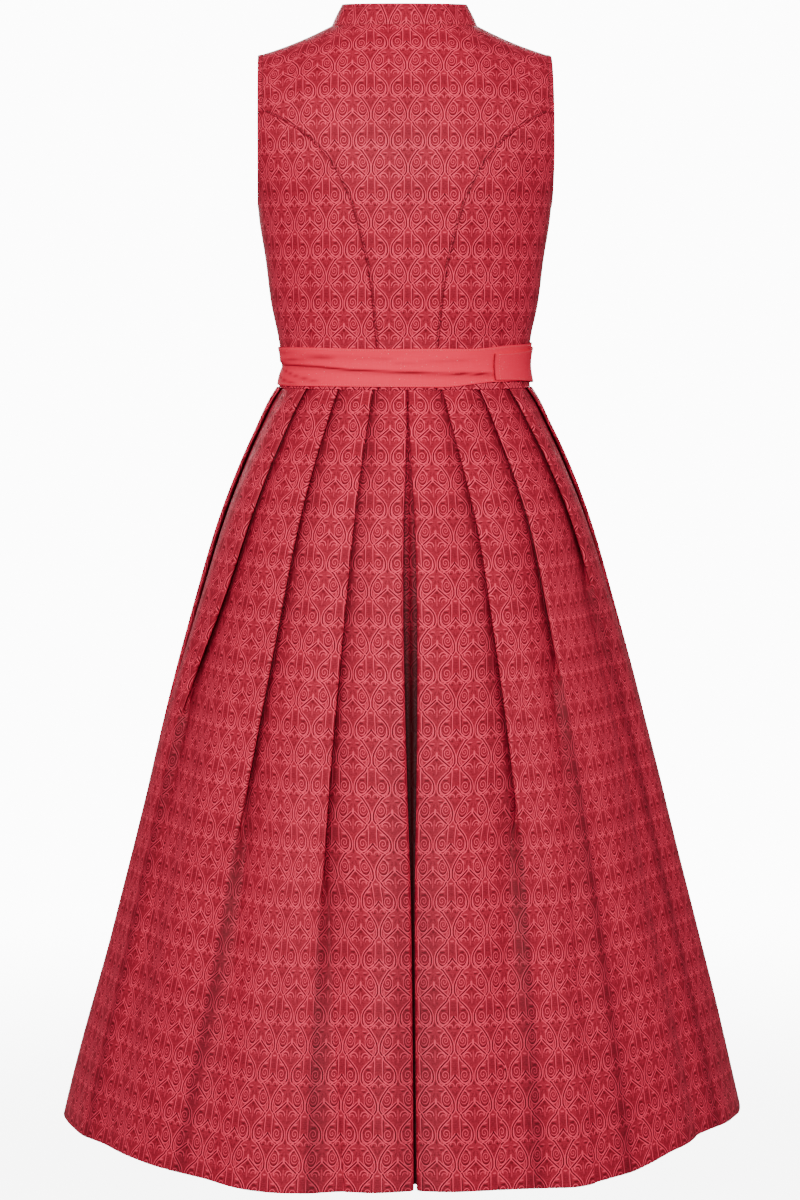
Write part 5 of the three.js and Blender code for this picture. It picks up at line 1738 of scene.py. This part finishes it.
def stitch_tree():
    """Lays short round stitches along the edges of a mesh path."""
    tree = bpy.data.node_groups.new("stitch_row", "GeometryNodeTree")
    face = tree.interface
    face.new_socket("Path", in_out="INPUT", socket_type="NodeSocketGeometry")
    for name, value in (("Pitch", 0.003), ("Length", 0.0022), ("Thickness", 0.0005)):
        face.new_socket(name, in_out="INPUT", socket_type="NodeSocketFloat").default_value = value
    face.new_socket("Seed", in_out="INPUT", socket_type="NodeSocketInt").default_value = 3
    face.new_socket("Thread", in_out="INPUT", socket_type="NodeSocketMaterial")
    face.new_socket("Stitches", in_out="OUTPUT", socket_type="NodeSocketGeometry")
    kinds = {
        "start": "NodeGroupInput", "end": "NodeGroupOutput", "curve": "GeometryNodeMeshToCurve",
        "resample": "GeometryNodeResampleCurve", "ball": "GeometryNodeMeshUVSphere",
        "size": "ShaderNodeCombineXYZ", "tangent": "GeometryNodeInputTangent",
        "turn": "FunctionNodeAlignRotationToVector", "jitter": "FunctionNodeRandomValue",
        "place": "GeometryNodeInstanceOnPoints", "grow": "GeometryNodeScaleInstances",
        "real": "GeometryNodeRealizeInstances", "shade": "GeometryNodeSetShadeSmooth",
        "paint": "GeometryNodeSetMaterial",
    }
    made = {key: tree.nodes.new(kind) for key, kind in kinds.items()}
    made["resample"].mode = "LENGTH"
    made["turn"].axis = "X"
    made["jitter"].data_type = "FLOAT"
    for key, name, value in (("ball", "Segments", 6), ("ball", "Rings", 5), ("ball", "Radius", 0.5),
                             ("jitter", 2, 0.9), ("jitter", 3, 1.08)):
        made[key].inputs[name].default_value = value
    for source, output, target, socket in (
        ("start", "Path", "curve", "Mesh"), ("curve", "Curve", "resample", "Curve"),
        ("start", "Pitch", "resample", "Length"), ("resample", "Curve", "place", "Points"),
        ("ball", "Mesh", "place", "Instance"), ("tangent", "Tangent", "turn", "Vector"),
        ("turn", "Rotation", "place", "Rotation"), ("start", "Length", "size", "X"),
        ("start", "Thickness", "size", "Y"), ("start", "Thickness", "size", "Z"),
        ("size", "Vector", "place", "Scale"), ("place", "Instances", "grow", "Instances"),
        ("start", "Seed", "jitter", "Seed"), ("jitter", 1, "grow", "Scale"),
        ("grow", "Instances", "real", "Geometry"), ("real", "Geometry", "shade", "Geometry"),
        ("shade", "Geometry", "paint", "Geometry"), ("start", "Thread", "paint", "Material"),
        ("paint", "Geometry", "end", "Stitches"),
    ):
        tree.links.new(made[source].outputs[output], made[target].inputs[socket])
    return tree


def stitches(name, paths, tree, thread, pitch=3.0, length=2.2, thickness=0.5):
    """One piece with the stitches of several seams."""
    points, edges = [], []
    for path in paths:
        first = len(points)
        points += (np.asarray(path) * MM).tolist()
        edges += [(first + i, first + i + 1) for i in range(len(path) - 1)]
    mesh = bpy.data.meshes.new(f"{name}_path")
    mesh.from_pydata(points, edges, [])
    carrier = link(bpy.data.objects.new(f"{name}_path", mesh))
    modifier = carrier.modifiers.new("stitch_row", "NODES")
    modifier.node_group = tree
    wanted = {"Pitch": pitch * MM, "Length": length * MM, "Thickness": thickness * MM,
              "Thread": thread}
    for item in tree.interface.items_tree:
        if item.in_out == "INPUT" and item.name in wanted:
            modifier[item.identifier] = wanted[item.name]
    depsgraph = bpy.context.evaluated_depsgraph_get()
    grown = carrier.evaluated_get(depsgraph)
    made = bpy.data.meshes.new_from_object(grown, depsgraph=depsgraph)
    made.name = name
    carrier.modifiers.remove(modifier)
    bpy.data.objects.remove(carrier)
    piece = link(bpy.data.objects.new(name, made))
    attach(piece, "root")


STITCH_LIFT = 0.1


def along(name, rows, columns):
    """A path along one row or one column of a panel, just above its surface."""
    entry = PIECES[name]
    return (entry["outer"] + entry["normals"] * STITCH_LIFT)[rows, columns]


def make_stitching(red_thread, coral_thread):
    """Topstitching of the seams and edges."""
    tree = stitch_tree()
    seam_column = len(EDGE_STEPS) - 1 - list(EDGE_STEPS).index(SEAM_STITCH)
    turned_column = len(EDGE_STEPS) - 1 - list(EDGE_STEPS).index(TURNED_STITCH)
    seam_rows = slice(0, len(SIDE_LEVELS))
    yoke_rows = slice(len(SIDE_LEVELS) + 1, len(CENTRE_LEVELS))
    princess_paths, arm_paths = [], []
    for name, mirrored in (("bodice_back_centre", True), ("bodice_front_left", False),
                           ("bodice_front_right", False)):
        ends = (-1 - seam_column, seam_column) if mirrored else (-1 - seam_column,)
        princess_paths += [along(name, seam_rows, end) for end in ends]
        ends = (-1 - turned_column, turned_column) if mirrored else (-1 - turned_column,)
        arm_paths += [along(name, yoke_rows, end) for end in ends]
    underarm = int(np.argmax(SIDE_LEVELS > UNDERARM_Z))
    for face in ("back", "front"):
        for word in ("left", "right"):
            name = f"bodice_{face}_side_{word}"
            arm_paths.append(along(name, slice(underarm, -3), -1 - turned_column))
    stitches("stitching_princess_seams", princess_paths, tree, red_thread)
    stitches("stitching_armholes", arm_paths, tree, red_thread)
    collar_paths = [along("collar", row, slice(3, -3)) for row in (9, 2)]
    stitches("stitching_collar", collar_paths, tree, red_thread)
    band_paths = []
    for name in ("apron_tie", "apron_waistband"):
        band_paths += [along(name, row, slice(4, -4)) for row in (2, -3)]
        band_paths.append(along(name, slice(2, -2), 4))
    band_paths += [along("apron_panel", slice(2, -3), column_index) for column_index in (4, -5)]
    band_paths.append(along("apron_panel", -6, slice(4, -4)))
    stitches("stitching_apron", band_paths, tree, coral_thread, 2.6, 1.9, 0.4)
    stitches("buttonholes", buttonhole_paths(), tree, red_thread, 0.9, 1.2, 0.6)


def buttonhole_paths(half_length=8.5, half_width=1.1, squareness=0.35):
    """Close stitches round the seven buttonholes of the right front."""
    paths = []
    for i in range(BUTTON_COUNT):
        z = BUTTON_TOP_Z - i * BUTTON_PITCH
        turn = np.linspace(0, 2 * math.pi, 40)
        cosine, sine = np.cos(turn), np.sin(turn)
        across = half_length * np.sign(cosine) * np.abs(cosine) ** squareness
        up = half_width * np.sign(sine) * np.abs(sine) ** squareness
        level = z + up
        angle = section_angle(level, across)
        point = torso_point("front", angle, level)
        paths.append(point + torso_normal("front", angle, level) * (WALL / 2 + 0.15))
    return paths


# ---------------------------------------------------------------- flat sizes of the cloth

def flat_sizes():
    """Says what each cloth piece was cut to, measured on its place on the flat cloth."""
    sizes = {}
    for name, entry in PIECES.items():
        u, v = entry["u"], entry["v"]
        width, length = float(np.ptp(u)), float(np.ptp(v))
        du, dv = np.diff(u, axis=1)[:-1], np.diff(v, axis=0)[:, :-1]
        area = float(np.abs(du * dv).sum())
        share = min(1.0, area / (width * length))
        rests = [] if name == "bodice_back_centre" else ["bodice_back_centre"]
        held = "gathered" if name == "apron_panel" else "hung" if "skirt" in name else "stretched"
        sizes[name] = (round(width), round(length), round(share, 2))
    return sizes


# ---------------------------------------------------------------- the dirndl

def make_floor(paint):
    """A round pale floor that fades into the backdrop."""
    bpy.ops.mesh.primitive_circle_add(vertices=96, radius=FLOOR_RADIUS, fill_type="NGON",
                                      location=(0, 0, FLOOR_Z))
    floor = bpy.context.object
    floor.name = "floor"
    floor.data.materials.append(paint)


def main():
    make_camera()
    make_studio()
    make_floor(make_floor_paint())
    brocade = make_brocade()
    coral = make_coral_cotton()
    pewter = make_button_metal()
    red_thread = make_thread("red_thread", srgb(150, 24, 38), srgb(214, 84, 96))
    coral_thread = make_thread("coral_thread", srgb(222, 70, 80), srgb(246, 128, 128))
    back_centre_panel(brocade)
    for side in (1, -1):
        front_centre_panel(side, brocade)
        side_panel("back", side, 9.0 * side, brocade)
        side_panel("front", side, 5.0 * side, brocade)
    collar(brocade)
    make_skirt(brocade)
    apron_panel(coral)
    make_waist(coral)
    make_buttons(pewter)
    make_stitching(red_thread, coral_thread)
    sizes = flat_sizes()
    for name, size in sizes.items():
        print("flat size", name, size)


main()
